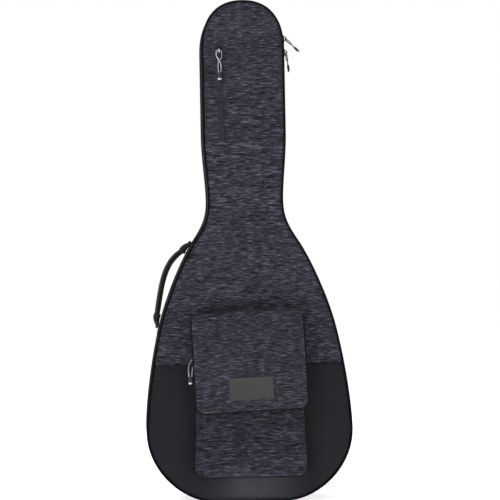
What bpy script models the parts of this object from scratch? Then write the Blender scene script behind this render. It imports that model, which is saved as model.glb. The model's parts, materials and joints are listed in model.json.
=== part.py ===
"""Padded gig bag for an acoustic guitar, standing on its base. Metres, +Z up, front towards -Y, +X to the right.

The bag is a deep rear shell and a shallower front lid, joined by a zip all round except at a fabric
hinge on the left of the lower bout. Each wall is an outer fabric, a foam board and a plush lining.
"""

from math import atan2, cos, pi, radians, sin

import bmesh
import bpy
from mathutils import Matrix, Vector

# Overall size
HEIGHT = 1.120
HALF_WIDTH = 0.230
REAR_Y = 0.080
FRONT_Y = -0.080
LID_TAPER = 0.030  # how far the front comes back per metre of height
FRONT_LEAN = -atan2(LID_TAPER, 1.0)
ZIP_Y = -0.020
ZIP_HALF = 0.005
SEAM_Z = 0.307  # where the coated lower front meets the woven upper front

# Wall build-up
FABRIC = 0.002
SIDE_FOAM = 0.012
BOARD_FOAM = 0.015
GAP = 0.0004

# Lid hinge: the stretch of the left side with no zip
HINGE_X = -HALF_WIDTH - 0.0025
HINGE_LOW_Z = 0.085
HINGE_HIGH_Z = 0.330

# Front pocket
POCKET_LOW_Z = 0.061
POCKET_TOP_Z = 0.422
POCKET_HALF_LOW = 0.126
POCKET_HALF_TOP = 0.110
POCKET_DEPTH = 0.038
POCKET_SPLAY = 0.004  # how much wider the pocket is where it is sewn to the lid
POCKET_ZIP_Z = 0.318
POCKET_SLIDER_X = -0.104
FLAP_LOW_Z = 0.207
FLAP_TOP_Z = 0.427
FLAP_HALF = 0.1245
FLAP_X = -0.0045  # the flap sits a little to the left of the pocket
FLAP_THICK = 0.006
FLAP_STAND = 0.0115  # room for the slider and the pull under the flap
FLAP_TILT = radians(2.4)
LABEL_Z = 0.257
LABEL_HALF = (0.049, 0.025)

# Neck pocket zip, on the upper front
NECK_ZIP_X = -0.0515
NECK_ZIP_LOW_Z = 0.805
NECK_ZIP_HIGH_Z = 1.020
NECK_ZIP_LEAN = 0.018  # sideways run per metre
NECK_SLIDER_Z = 1.007

# Main zip sliders, on the right of the head
MAIN_SLIDER_Z = (1.034, 1.003)
MAIN_PULL_SWING = (radians(46), radians(8))
BRIDGE = 0.0048  # how far a slider's bridge stands off its base

# Zip pulls: the two legs of the cord, as (across, out, up) from the slider's bridge
CORD_RADIUS = 0.0014
GRIP_LENGTH = 0.017
CROSSING_LEG = (
    (0.0, 0.0, 0.0), (0.0040, 0.0, -0.0002), (0.0062, 0.0002, -0.0035), (0.0060, 0.0009, -0.0120),
    (0.0018, 0.0016, -0.0210), (-0.0018, 0.0016, -0.0270), (-0.0034, 0.0008, -0.0350), (-0.0030, 0.0, -0.0430),
    (-0.0024, 0.0, -0.0500),
)
HANGING_LEGS = (tuple((-x, -y, z) for x, y, z in CROSSING_LEG), CROSSING_LEG)
SHORT_LEG = (
    (0.0, 0.0, 0.0), (0.0040, 0.0, -0.0002), (0.0062, 0.0004, -0.0036), (0.0046, 0.0012, -0.0088),
    (0.0, 0.0017, -0.0135), (-0.0031, 0.0010, -0.0185), (-0.0030, 0.0, -0.0235), (-0.0024, 0.0, -0.0280),
)
SHORT_LEGS = (tuple((-x, -y, z) for x, y, z in SHORT_LEG), SHORT_LEG)
DROOPING_LEGS = (
    ((0.0, 0.0, 0.0), (-0.0006, 0.0, 0.0045), (-0.006, 0.0, 0.0068), (-0.0190, 0.0, 0.0052),
     (-0.0262, 0.0, -0.0010), (-0.0300, 0.0, -0.0110), (-0.0306, 0.0, -0.0220), (-0.0298, 0.0, -0.0340)),
    ((0.0, 0.0, 0.0), (-0.0006, 0.0, -0.0045), (-0.0055, 0.0, -0.0068), (-0.0150, 0.0, -0.0074),
     (-0.0207, 0.0, -0.0110), (-0.0228, 0.0, -0.0180), (-0.0234, 0.0, -0.0260), (-0.0238, 0.0, -0.0340)),
)

# Handles
SIDE_HANDLE_LOW_Z = 0.410
SIDE_HANDLE_TOP_Z = 0.556
SIDE_HANDLE_Y = 0.028
SIDE_HANDLE_RISE = 0.018
BACK_HANDLE_LOW_Z = 0.890
BACK_HANDLE_TOP_Z = 1.020
BACK_HANDLE_RISE = 0.024
GRIP_RADIUS = 0.0068
GRIP_LIFT = 0.012  # from the bag's surface to the handle's swing axis

# Shoulder straps
STRAP_TOP_Z = 0.660
STRAP_TOP_X = 0.042
PAD_END = Vector((0.108, 0.0, 0.290))
RING_END = Vector((0.160, 0.0, 0.120))
PAD_HALF_WIDTH = 0.034
PAD_THICK = 0.012
STRAP_STAND = 0.022
STRAP_PIVOT_STAND = 0.0115
STRAP_END_STAND = 0.016
WEB_HALF_WIDTH = 0.0125
WEB_THICK = 0.003

OUTLINE_CURVES = (
    # (first point, its handle, second point's handle, second point, steps), right half, base to crown
    ((0.000, 0.000), (0.024, 0.000), (0.048, 0.000), (0.072, 0.000), 1),
    ((0.072, 0.000), (0.154, 0.000), (0.230, 0.075), (0.230, 0.158), 8),
    ((0.230, 0.158), (0.230, 0.218), (0.212, 0.330), (0.196, 0.392), 4),
    ((0.196, 0.392), (0.183, 0.446), (0.147, 0.534), (0.117, 0.580), 4),
    ((0.117, 0.580), (0.096, 0.612), (0.084, 0.632), (0.084, 0.672), 4),
    ((0.084, 0.672), (0.084, 0.715), (0.0928, 0.770), (0.0928, 0.825), 4),
    ((0.0928, 0.825), (0.0928, 0.890), (0.0928, 0.950), (0.0928, 1.010), 1),
    ((0.0928, 1.010), (0.0928, 1.078), (0.061, 1.120), (0.000, 1.120), 8),
)


# Materials

def material(name, color, roughness, metallic=0.0):
    made = bpy.data.materials.new(name)
    made.use_nodes = True
    shader = made.node_tree.nodes["Principled BSDF"]
    shader.inputs["Base Color"].default_value = (*color, 1.0)
    shader.inputs["Roughness"].default_value = roughness
    shader.inputs["Metallic"].default_value = metallic
    return made


def make_materials():
    return {
        "melange": material("melange_fabric", (0.045, 0.043, 0.058), 0.85),
        "coated": material("coated_fabric", (0.020, 0.019, 0.026), 0.55),
        "webbing": material("webbing", (0.012, 0.012, 0.013), 0.75),
        "foam": material("foam", (0.16, 0.16, 0.17), 0.95),
        "plush": material("plush_lining", (0.09, 0.09, 0.10), 0.95),
        "mesh": material("strap_mesh", (0.015, 0.015, 0.017), 0.9),
        "zip": material("zip_tape", (0.012, 0.012, 0.014), 0.6),
        "metal": material("zip_metal", (0.45, 0.45, 0.47), 0.3, 1.0),
        "dark_metal": material("dark_metal", (0.10, 0.10, 0.11), 0.35, 1.0),
        "cord": material("pull_cord", (0.03, 0.03, 0.035), 0.7),
        "rubber": material("grip_rubber", (0.02, 0.02, 0.022), 0.5),
        "label": material("label_rubber", (0.085, 0.085, 0.078), 0.6),
        "plastic": material("buckle_plastic", (0.015, 0.015, 0.016), 0.4),
    }


# Mesh helpers

def object_from_mesh(name, points, faces, finish):
    mesh = bpy.data.meshes.new(name)
    mesh.from_pydata([tuple(p) for p in points], [], faces)
    work = bmesh.new()
    work.from_mesh(mesh)
    bmesh.ops.recalc_face_normals(work, faces=work.faces)
    work.to_mesh(mesh)
    work.free()
    mesh.materials.append(finish)
    made = bpy.data.objects.new(name, mesh)
    bpy.context.scene.collection.objects.link(made)
    return made


def loft(name, rings, finish, caps=True):
    """A solid through rings of points: capped at both ends, or, without caps, joined round to the first."""
    count = len(rings[0])
    points = [p for ring in rings for p in ring]
    spans = len(rings) - 1 if caps else len(rings)
    faces = []
    for r in range(spans):
        near, far = r * count, (r + 1) % len(rings) * count
        for i in range(count):
            j = (i + 1) % count
            faces.append((near + i, near + j, far + j, far + i))
    if caps:
        faces.append(tuple(range(count)))
        faces.append(tuple((len(rings) - 1) * count + i for i in range(count)))
    return object_from_mesh(name, points, faces, finish)


def tube(name, points, radius, finish, cyclic=False, sides=2):
    """A round cord or bar along a line of points."""
    curve = bpy.data.curves.new(name, "CURVE")
    curve.dimensions = "3D"
    curve.bevel_depth = radius
    curve.bevel_resolution = sides
    curve.use_fill_caps = not cyclic
    spline = curve.splines.new("POLY")
    spline.points.add(len(points) - 1)
    for spot, point in zip(spline.points, points):
        spot.co = (*point, 1.0)
    spline.use_cyclic_u = cyclic
    curve.materials.append(finish)
    made = bpy.data.objects.new(name, curve)
    bpy.context.scene.collection.objects.link(made)
    return made


def box(name, low, high, finish):
    """A box between two corners."""
    x = (low[0], high[0])
    z = (low[2], high[2])
    rings = [[(x[0], y, z[0]), (x[1], y, z[0]), (x[1], y, z[1]), (x[0], y, z[1])] for y in (low[1], high[1])]
    return loft(name, rings, finish)


def cut(target, cutter):
    """Cuts one object with another, which is then only a guide."""
    cutter.hide_render = True
    cutter.display_type = "WIRE"
    boolean = target.modifiers.new("cut_" + cutter.name, "BOOLEAN")
    boolean.operation = "DIFFERENCE"
    boolean.object = cutter
    boolean.solver = "EXACT"


def smooth_line(points, steps):
    """A Catmull-Rom curve through the points, with this many steps in each span."""
    line = []
    ends = [2 * points[0] - points[1], *points, 2 * points[-1] - points[-2]]
    for a, b, c, d in zip(ends, ends[1:], ends[2:], ends[3:]):
        for k in range(steps):
            t = k / steps
            line.append(
                0.5 * (2 * b + (c - a) * t + (2 * a - 5 * b + 4 * c - d) * t * t + (3 * b - a - 3 * c + d) * t ** 3)
            )
    line.append(points[-1].copy())
    return line


# The bag's outline

def bezier(a, b, c, d, t):
    s = 1 - t
    return a * s ** 3 + 3 * b * t * s * s + 3 * c * t * t * s + d * t ** 3


def base_outline():
    """The outline at the widest girth, anticlockwise seen from the front, from the middle of the base."""
    half = []
    for first, out, back, last, steps in OUTLINE_CURVES:
        for k in range(steps):
            half.append(bezier(Vector(first), Vector(out), Vector(back), Vector(last), k / steps))
    crown = Vector(OUTLINE_CURVES[-1][3])
    left = [Vector((-p.x, p.y)) for p in reversed(half[1:])]
    return [*half, crown, *left]


def offset_loop(points, inset):
    """A closed loop moved inwards, keeping each side parallel."""
    moved = []
    count = len(points)
    for i, point in enumerate(points):
        before = (point - points[i - 1]).normalized()
        after = (points[(i + 1) % count] - point).normalized()
        along = (before + after).normalized()
        inward = Vector((-along.y, along.x))
        moved.append(point + inward * (inset / max(0.3, along.dot(after))))
    return moved


OUTLINE = base_outline()


def leaned(y, z):
    """A depth on the untapered bag moved to where the tapering lid has it."""
    share = min(1.0, max(0.0, (ZIP_Y - y) / (ZIP_Y - FRONT_Y)))
    return y + LID_TAPER * z * share


def front_at(z):
    return leaned(FRONT_Y, z)


def side_x(z):
    """Half the bag's width at a height, above the base."""
    right = OUTLINE[: len(OUTLINE) // 2 + 1]
    for low, high in zip(right, right[1:]):
        if low.y <= z <= high.y and high.y > low.y:
            return low.x + (high.x - low.x) * (z - low.y) / (high.y - low.y)
    return 0.0


def girth_ring(inset, y):
    return [(p.x, leaned(y, p.y), p.y) for p in offset_loop(OUTLINE, inset)]


def tray(name, profile, finish):
    """A board or dish: rings of (inset, depth), capped across at both ends."""
    return loft(name, [girth_ring(inset, y) for inset, y in profile], finish)


def band(name, profile, finish):
    """A wall that runs all the way round, of this (inset, depth) section."""
    return loft(name, [girth_ring(inset, y) for inset, y in profile], finish, caps=False)


def strip(name, profile, indexes, finish):
    """A wall along part of the outline."""
    loops = [girth_ring(inset, y) for inset, y in profile]
    return loft(name, [[loop[i] for loop in loops] for i in indexes], finish)


# Shell and lid

def build_rear_shell(m):
    zip_edge = ZIP_Y + ZIP_HALF
    seam = REAR_Y - 0.006
    inner = FABRIC + 0.0006
    board = REAR_Y - 0.003
    foam_face = board - BOARD_FOAM
    lining = inner + SIDE_FOAM + GAP
    band("rear_gusset", ((0, zip_edge), (0, seam), (FABRIC, seam), (FABRIC, zip_edge)), m["coated"])
    tray(
        "back_panel",
        ((0.007, REAR_Y), (0.0018, REAR_Y - 0.0014), (0.0002, seam + GAP), (0.0024, seam + GAP),
         (0.007, REAR_Y - 0.0024)),
        m["coated"],
    )
    tray("back_foam", ((0.008, board), (inner, board - 0.0035), (inner, foam_face)), m["foam"])
    band(
        "side_foam",
        ((inner, zip_edge + 0.001), (inner, foam_face - GAP), (inner + SIDE_FOAM, foam_face - GAP),
         (inner + SIDE_FOAM, zip_edge + 0.001)),
        m["foam"],
    )
    tray(
        "rear_lining",
        ((lining, foam_face - GAP), (lining, zip_edge + 0.001), (lining + FABRIC, zip_edge + 0.001),
         (lining + FABRIC, foam_face - GAP - FABRIC)),
        m["plush"],
    )


def build_lid_shell(m):
    zip_edge = ZIP_Y - ZIP_HALF
    inner = FABRIC + 0.0006
    foam_face = FRONT_Y + 0.0176
    lining = inner + SIDE_FOAM + GAP
    band(
        "lid_gusset",
        ((0, zip_edge), (0, FRONT_Y + 0.013), (0.0008, FRONT_Y + 0.006), (0.0030, FRONT_Y + 0.0018),
         (0.0045, FRONT_Y + 0.0032), (0.0027, FRONT_Y + 0.0066), (FABRIC, FRONT_Y + 0.013), (FABRIC, zip_edge)),
        m["coated"],
    )
    panel = ((0.016, FRONT_Y), (0.0052, FRONT_Y + 0.0008), (0.0060, FRONT_Y + 0.0028), (0.016, FRONT_Y + 0.0022))
    far = 1.5 * HEIGHT
    for name, finish, low, high in (
        ("lid_panel_upper", m["melange"], -far, SEAM_Z),
        ("lid_panel_lower", m["coated"], SEAM_Z - 0.0006, far),
    ):
        front = tray(name, panel, finish)
        cut(front, box(name + "_cutter", (-far, -far, low), (far, far, high), finish))
    board = tray(
        "lid_foam",
        ((0.017, FRONT_Y + 0.0028), (0.0066, FRONT_Y + 0.0036), (0.0050, FRONT_Y + 0.0070), (inner, foam_face)),
        m["foam"],
    )
    cut(board, neck_pouch("pouch_recess", m["foam"], room=0.001, ahead=0.010))
    band(
        "lid_side_foam",
        ((inner, zip_edge - 0.001), (inner, foam_face + GAP), (inner + SIDE_FOAM, foam_face + GAP),
         (inner + SIDE_FOAM, zip_edge - 0.001)),
        m["foam"],
    )
    lining_face = foam_face + GAP + FABRIC
    tray("lid_lining", ((lining, foam_face + GAP), (lining, lining_face)), m["plush"])
    band(
        "lid_side_lining",
        ((lining, lining_face + GAP), (lining, zip_edge - 0.001), (lining + FABRIC, zip_edge - 0.001),
         (lining + FABRIC, lining_face + GAP)),
        m["plush"],
    )


def build_main_zip(m):
    """Two tapes that meet at the teeth, and the fabric hinge where they stop."""
    count = len(OUTLINE)
    hinge = [i for i, p in enumerate(OUTLINE) if p.x < 0 and HINGE_LOW_Z < p.y < HINGE_HIGH_Z]
    round_bag = [(hinge[-1] + 1 + k) % count for k in range(count - len(hinge))]
    outer, inner = 0.0006, 0.0022
    edge = ZIP_HALF - GAP
    for name, near, far in (
        ("lid_zip_tape", ZIP_Y - edge, ZIP_Y - 0.0003),
        ("rear_zip_tape", ZIP_Y + 0.0003, ZIP_Y + edge),
    ):
        strip(name, ((outer, near), (outer, far), (inner, far), (inner, near)), round_bag, m["zip"])
    strip(
        "hinge_panel",
        ((outer, ZIP_Y - edge), (outer, ZIP_Y + edge), (inner, ZIP_Y + edge), (inner, ZIP_Y - edge)),
        hinge,
        m["coated"],
    )


def build_inside(m):
    """The padded block that carries the neck, its hook-and-loop strap, and the block under the tail."""
    lining_y = REAR_Y - 0.003 - BOARD_FOAM - GAP - FABRIC
    back = lining_y - GAP
    seat = back - 0.030
    top = back - 0.050
    half, notch = 0.066, 0.030
    low, high = 0.735, 0.790
    section = [(-half, back), (half, back), (half, top), (notch, top), (notch - 0.008, seat),
               (-notch + 0.008, seat), (-notch, top), (-half, top)]
    loft("neck_cradle", [[(x, y, z) for x, y in section] for z in (low, high)], m["plush"])
    strap_y = top - GAP - 0.003
    box("neck_strap", (-half, strap_y, low + 0.010), (half - 0.004, strap_y + 0.003, high - 0.010), m["webbing"])
    floor = 0.0184 + 0.001
    tail = [(-0.075, floor), (0.075, floor), (0.060, floor + 0.018), (-0.060, floor + 0.018)]
    loft("tail_block", [[(x, y, z) for x, z in tail] for y in (back, back - 0.070)], m["plush"])
    return strap_y


# Zips with their pulls

def slider_mesh(name, place, turn, finish):
    """A slider 17 mm long on a surface facing -Y: a waisted plate, and a bridge that the pull cord goes through."""
    plate = [(-0.0085, 0.0028), (-0.0085, 0), (0.0085, 0), (0.0085, 0.0028), (0.0062, 0.0028),
             (0.0048, 0.0082), (-0.0048, 0.0082), (-0.0062, 0.0028)]
    rings = [[(x, -y, z) for z, y in plate] for x in (-0.0038, 0.0038)]
    made = loft(name, rings, finish)
    hole = box(name + "_cutter", (-0.02, -0.0068, -0.0027), (0.02, -0.0027, 0.0027), finish)
    cut(made, hole)
    for piece in (made, hole):
        piece.location = place
        piece.rotation_euler = turn.to_euler()


def pull(name, place, turn, swing, legs, m):
    """A doubled cord through the slider's bridge, with its ends moulded into a grip. Local -Z is down the pull."""
    holder = bpy.data.objects.new(name + "_pivot", None)
    bpy.context.scene.collection.objects.link(holder)
    holder.location = place
    holder.rotation_euler = (turn @ Matrix.Rotation(swing, 4, "X")).to_euler()
    near, far = (smooth_line([Vector(p) for p in leg], 2) for leg in legs)
    cord = tube(name + "_cord", [*reversed(near[1:]), *far], CORD_RADIUS, m["cord"])
    half_x, half_y = 0.0058, 0.0030
    middle = (near[-1] + far[-1]) / 2
    top = middle.z - GAP
    sections = ((top, 0.8), (top - 0.002, 1.0), (top - GRIP_LENGTH + 0.002, 0.92), (top - GRIP_LENGTH, 0.7))
    corners = ((-1, -0.5), (-0.6, -1), (0.6, -1), (1, -0.5), (1, 0.5), (0.6, 1), (-0.6, 1), (-1, 0.5))
    rings = [[(middle.x + x * half_x * k, y * half_y * k, z) for x, y in corners] for z, k in sections]
    grip = loft(name + "_grip", rings, m["rubber"])
    for piece in (cord, grip):
        piece.parent = holder


def build_main_sliders(m):
    """Two sliders that meet on the right of the head, facing +X."""
    reach = 0.009
    for name, z, swing in zip(("main_upper", "main_lower"), MAIN_SLIDER_Z, MAIN_PULL_SWING):
        slope = atan2(side_x(z + reach) - side_x(z - reach), 2 * reach)
        turn = Matrix.Rotation(slope, 4, "Y") @ Matrix.Rotation(pi / 2, 4, "Z")
        place = Vector((side_x(z) + 0.0008, ZIP_Y, z))
        slider_mesh(name + "_slider", place, turn, m["metal"])
        bridge = place + Vector((cos(slope), 0, -sin(slope))) * BRIDGE
        pull(name, bridge, Matrix.Rotation(pi / 2, 4, "Z"), -swing, SHORT_LEGS, m)


def neck_zip_x(z):
    return NECK_ZIP_X - NECK_ZIP_LEAN * (z - 0.91)


def build_neck_pocket(m):
    low, high = NECK_ZIP_LOW_Z, NECK_ZIP_HIGH_Z
    half, thick = 0.0065, 0.0012
    rings = []
    for out in (GAP, GAP + thick):
        rings.append([
            (neck_zip_x(z) + side, front_at(z) - out, z)
            for z, side in ((low, -half), (low, half), (high, half), (high, -half))
        ])
    loft("neck_pocket_zip_tape", rings, m["zip"])
    z = NECK_SLIDER_Z
    lift = GAP + thick + GAP
    place = Vector((neck_zip_x(z), front_at(z) - lift, z))
    turn = Matrix.Rotation(FRONT_LEAN, 4, "X")
    slider_mesh("neck_pocket_slider", place, turn, m["metal"])
    pull("neck_pocket", place + Vector((0, -BRIDGE, 0)), turn, -radians(3), HANGING_LEGS, m)
    neck_pouch("neck_pocket_pouch", m["plush"])


def neck_pouch(name, finish, room=0.0, ahead=0.0):
    """The flat pouch behind the zip, which lies in a recess in the lid's foam."""
    rings = []
    for z in (0.790 - room, 1.010 + room):
        front = front_at(z) + 0.0038 - ahead
        back = front_at(z) + 0.0078 + room
        rings.append([(x, y, z) for x, y in (
            (-0.064 - room, front), (0.050 + room, front), (0.050 + room, back), (-0.064 - room, back))])
    return loft(name, rings, finish)


# Front pocket and flap

def rounded_box_loop(half_low, half_top, low, top, radius_low, radius_top, steps=4):
    """A four-sided loop with rounded corners, anticlockwise seen from the front."""
    corners = (
        (half_low - radius_low, low + radius_low, radius_low, -pi / 2),
        (half_top - radius_top, top - radius_top, radius_top, 0.0),
        (-half_top + radius_top, top - radius_top, radius_top, pi / 2),
        (-half_low + radius_low, low + radius_low, radius_low, pi),
    )
    loop = []
    for x, z, radius, start in corners:
        for k in range(steps + 1):
            angle = start + pi / 2 * k / steps
            loop.append(Vector((x + radius * cos(angle), z + radius * sin(angle))))
    return loop


def pocket_ring(loop, out):
    """The loop at this distance in front of the lid."""
    return [(p.x, front_at(p.y) - out, p.y) for p in loop]


def build_front_pocket(m):
    outer = rounded_box_loop(POCKET_HALF_LOW, POCKET_HALF_TOP, POCKET_LOW_Z, POCKET_TOP_Z, 0.022, 0.020)
    foot = offset_loop(outer, -POCKET_SPLAY)
    gusset = [pocket_ring(foot, GAP), pocket_ring(outer, POCKET_DEPTH),
              pocket_ring(offset_loop(outer, FABRIC), POCKET_DEPTH), pocket_ring(offset_loop(foot, FABRIC), GAP)]
    loft("pocket_gusset", gusset, m["coated"], caps=False)
    face_back, face_front = POCKET_DEPTH + GAP, POCKET_DEPTH + GAP + 0.003
    zip_half = 0.008
    for name, low, high in (
        ("pocket_face_lower", -1.0, POCKET_ZIP_Z - zip_half),
        ("pocket_face_upper", POCKET_ZIP_Z + zip_half, 2.0),
    ):
        plate = loft(name, [pocket_ring(outer, face_back), pocket_ring(outer, face_front)], m["melange"])
        start, end = (high, 2.0) if low < 0 else (-1.0, low)
        cut(plate, box(name + "_cutter", (-1, -1, start), (1, 1, end), m["melange"]))
    half = POCKET_HALF_TOP + 0.004
    edge = zip_half - GAP
    corners = [Vector(c) for c in ((-half, POCKET_ZIP_Z - edge), (half, POCKET_ZIP_Z - edge),
                                   (half, POCKET_ZIP_Z + edge), (-half, POCKET_ZIP_Z + edge))]
    tape_front = face_back + 0.0016
    loft("pocket_zip_tape", [pocket_ring(corners, face_back), pocket_ring(corners, tape_front)], m["zip"])
    place = Vector((POCKET_SLIDER_X, front_at(POCKET_ZIP_Z) - tape_front - GAP, POCKET_ZIP_Z))
    lean = Matrix.Rotation(FRONT_LEAN, 4, "X")
    slider_mesh("pocket_slider", place, lean @ Matrix.Rotation(pi / 2, 4, "Y"), m["metal"])
    pull("pocket", place + Vector((0, -BRIDGE, 0)), lean, 0.0, DROOPING_LEGS, m)
    return face_front


def skewed(loop):
    """The flap hangs a little askew, turned about the middle of its top edge."""
    middle, moved = Vector((0.0, FLAP_TOP_Z)), Vector((FLAP_X, FLAP_TOP_Z))
    return [moved + Matrix.Rotation(FLAP_TILT, 2) @ (p - middle) for p in loop]


def build_flap(m, under):
    """The flap over the upper part of the pocket, with its label and its hook-and-loop closure."""
    loop = skewed(rounded_box_loop(FLAP_HALF, FLAP_HALF, FLAP_LOW_Z, FLAP_TOP_Z, 0.018, 0.016))
    near = under + FLAP_STAND
    far = near + FLAP_THICK
    edge = offset_loop(loop, 0.003)
    loft("pocket_flap", [pocket_ring(edge, near), pocket_ring(loop, near + 0.002),
                         pocket_ring(loop, far - 0.002), pocket_ring(edge, far)], m["melange"])
    half_wide, half_high = LABEL_HALF
    label = skewed(rounded_box_loop(half_wide, half_wide, LABEL_Z - half_high, LABEL_Z + half_high, 0.003, 0.003, 2))
    loft("label_patch", [pocket_ring(label, far + GAP), pocket_ring(label, far + GAP + 0.0016)], m["label"])
    binding = rounded_box_loop(0.106, 0.106, 0.400, 0.417, 0.002, 0.002, steps=1)
    loft("flap_binding", [pocket_ring(binding, under + GAP), pocket_ring(binding, near - GAP)], m["webbing"])
    for name, start, end in (
        ("flap_hook_patch", near - GAP - 0.0015, near - GAP),
        ("pocket_loop_patch", under + GAP, under + GAP + 0.0015),
    ):
        patch = rounded_box_loop(0.060, 0.060, 0.222, 0.247, 0.003, 0.003, steps=2)
        loft(name, [pocket_ring(patch, start), pocket_ring(patch, end)], m["webbing"])


# Handles

def handle_line(start, end, out, rise, steps=3):
    """An arch from start to end, standing off along out."""
    shape = ((0.0, 0.0), (0.10, 0.22), (0.25, 0.52), (0.45, 0.86), (0.64, 1.0), (0.80, 0.84), (0.93, 0.40), (1.0, 0.0))
    return smooth_line([start.lerp(end, along) + out * (rise * up) for along, up in shape], steps - 1)


def handle_tab(name, foot, along, out, y_half, finish, reach=0.026):
    """A webbing tab sewn to the bag and turned up into the end of a grip."""
    across = along.cross(out).normalized()
    low, high, top = 0.0008, 0.0040, GRIP_LIFT - GRIP_RADIUS - 0.0008
    rings = []
    for side in (-y_half, y_half):
        rings.append([
            foot + across * side + along * a + out * o
            for a, o in ((0.0, low), (reach, low), (reach, high), (0.004, high), (0.003, top), (-0.001, top))
        ])
    loft(name, rings, finish)


def build_side_handle(m):
    """On the left side wall, standing out as it does when the bag is set down."""
    ends = [Vector((-side_x(z), SIDE_HANDLE_Y, z)) for z in (SIDE_HANDLE_LOW_Z, SIDE_HANDLE_TOP_Z)]
    along = (ends[1] - ends[0]).normalized()
    out = along.cross(Vector((0, 1, 0))).normalized()
    if out.x > 0:
        out = -out
    lifted = [end + out * GRIP_LIFT for end in ends]
    tube("side_handle_grip", handle_line(*lifted, out, SIDE_HANDLE_RISE), GRIP_RADIUS, m["webbing"])
    handle_tab("side_handle_tab_low", ends[0], -along, out, 0.012, m["webbing"])
    handle_tab("side_handle_tab_top", ends[1], along, out, 0.012, m["webbing"])
    return lifted[0]


def build_back_handle(m):
    """On the back of the head, for lifting the bag."""
    out = Vector((0, 1, 0))
    ends = [Vector((0.0, REAR_Y, z)) for z in (BACK_HANDLE_LOW_Z, BACK_HANDLE_TOP_Z)]
    lifted = [end + out * GRIP_LIFT for end in ends]
    tube("back_handle_grip", handle_line(*lifted, out, BACK_HANDLE_RISE), GRIP_RADIUS, m["webbing"])
    up = Vector((0, 0, 1))
    handle_tab("back_handle_tab_low", ends[0], -up, out, 0.0125, m["webbing"])
    handle_tab("back_handle_tab_top", ends[1], up, out, 0.0125, m["webbing"])
    return lifted[0]


# Shoulder straps

def ribbon(name, line, half_widths, thick, finish):
    """A flat strap along a line, facing away from the back of the bag."""
    rings = []
    for i, point in enumerate(line):
        ahead = (line[min(i + 1, len(line) - 1)] - line[max(i - 1, 0)]).normalized()
        across = ahead.cross(Vector((0, 1, 0))).normalized()
        out = across.cross(ahead).normalized()
        half = half_widths[i]
        bevel = min(0.003, 0.35 * thick)
        rings.append([
            point + across * a + out * o
            for a, o in ((-half + bevel, -thick / 2), (half - bevel, -thick / 2), (half, 0.0),
                         (half - bevel, thick / 2), (-half + bevel, thick / 2), (-half, 0.0))
        ])
    return loft(name, rings, finish)


def build_strap(side, sign, m):
    """One shoulder strap: a padded upper part, webbing with an adjuster, and a hook in the bag's ring."""
    def spot(x, stand, z):
        return Vector((sign * x, REAR_Y + stand, z))

    pad_points = [spot(STRAP_TOP_X, STRAP_PIVOT_STAND, STRAP_TOP_Z), spot(0.044, 0.016, 0.610),
                  spot(0.056, STRAP_STAND, 0.520), spot(0.076, STRAP_STAND + 0.003, 0.400),
                  spot(PAD_END.x, 0.017, PAD_END.z)]
    line = smooth_line(pad_points, 3)
    count = len(line) - 1
    widths = [PAD_HALF_WIDTH * (1.0 - 0.42 * max(0.0, (i / count - 0.72) / 0.28) ** 1.5) for i in range(count + 1)]
    ribbon("shoulder_pad_" + side, line, widths, PAD_THICK, m["mesh"])
    start, end = spot(PAD_END.x, 0.017, PAD_END.z), spot(RING_END.x, STRAP_END_STAND, RING_END.z)
    down = (end - start).normalized()
    start = start + down * GAP
    hook_length = 0.030
    web_end = end - down * hook_length
    ribbon("strap_webbing_" + side, [start, web_end], [WEB_HALF_WIDTH] * 2, WEB_THICK, m["webbing"])
    adjuster_middle = start + down * 0.040
    across = down.cross(Vector((0, 1, 0))).normalized()
    out = across.cross(down).normalized()
    rings = []
    for half, thick in ((WEB_HALF_WIDTH + 0.0035, 0.0042), (WEB_HALF_WIDTH + 0.0006, 0.0021)):
        for along in (-0.009, 0.009):
            rings.append([
                adjuster_middle + down * along + across * (half * a) + out * (thick * o)
                for a, o in ((-1, -1), (1, -1), (1, 1), (-1, 1))
            ])
    loft("strap_adjuster_" + side, [rings[0], rings[1], rings[3], rings[2]], m["plastic"], caps=False)
    build_hook(side, web_end + down * GAP, end, down, across, out, m)
    build_ring(side, end, down, across, m)


def build_hook(side, start, end, down, across, out, m):
    """A flat open hook: its mouth faces the bag, so the strap lifts off the ring."""
    thick, lip, tip = 0.0022, 0.003, 0.0095
    reach = (end - start).length + 0.0065
    shape = [(0.0, -thick), (0.0, thick), (reach, thick), (reach, -tip), (reach - lip, -tip),
             (reach - lip, -thick)]
    rings = [[start + down * a + out * o + across * w for a, o in shape] for w in (-0.0095, 0.0095)]
    loft("strap_hook_" + side, rings, m["dark_metal"])


def build_ring(side, end, down, across, m):
    """A rectangular ring that leans off the back, its upper bar in the hook, its lower bar on a sewn tab."""
    bar, half, length = 0.0019, 0.0135, 0.022
    upper, lower = 0.0105, 0.0042
    corners = []
    for x, along, stand in ((-half, 0.0, upper), (half, 0.0, upper), (half, length, lower), (-half, length, lower)):
        corner = end + across * x + down * along
        corners.append(Vector((corner.x, REAR_Y + stand, corner.z)))
    loop = []
    for i, corner in enumerate(corners):
        for other in (corners[i - 1], corners[(i + 1) % 4]):
            loop.append(corner.lerp(other, 0.003 / (corner - other).length))
    tube("strap_ring_" + side, loop, bar, m["dark_metal"], cyclic=True, sides=1)
    wide, narrow = 0.026, 0.0095
    head = end + down * (length + bar + GAP)
    foot = head + down * 0.034
    flat = [head - across * narrow, head + across * narrow, foot + across * wide, foot - across * wide]
    rings = [[(p.x, REAR_Y + stand, p.z) for p in flat] for stand in (GAP, 0.0026)]
    loft("strap_tab_" + side, rings, m["webbing"])


def build_yoke(m):
    """The sewn panel on the back that the tops of both straps come out of."""
    loop = rounded_box_loop(0.079, 0.050, STRAP_TOP_Z + 0.002, 0.722, 0.006, 0.012, steps=2)
    rings = [[(p.x, REAR_Y + out, p.y) for p in loop] for out in (GAP, 0.0045)]
    loft("strap_yoke", rings, m["coated"])


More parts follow.
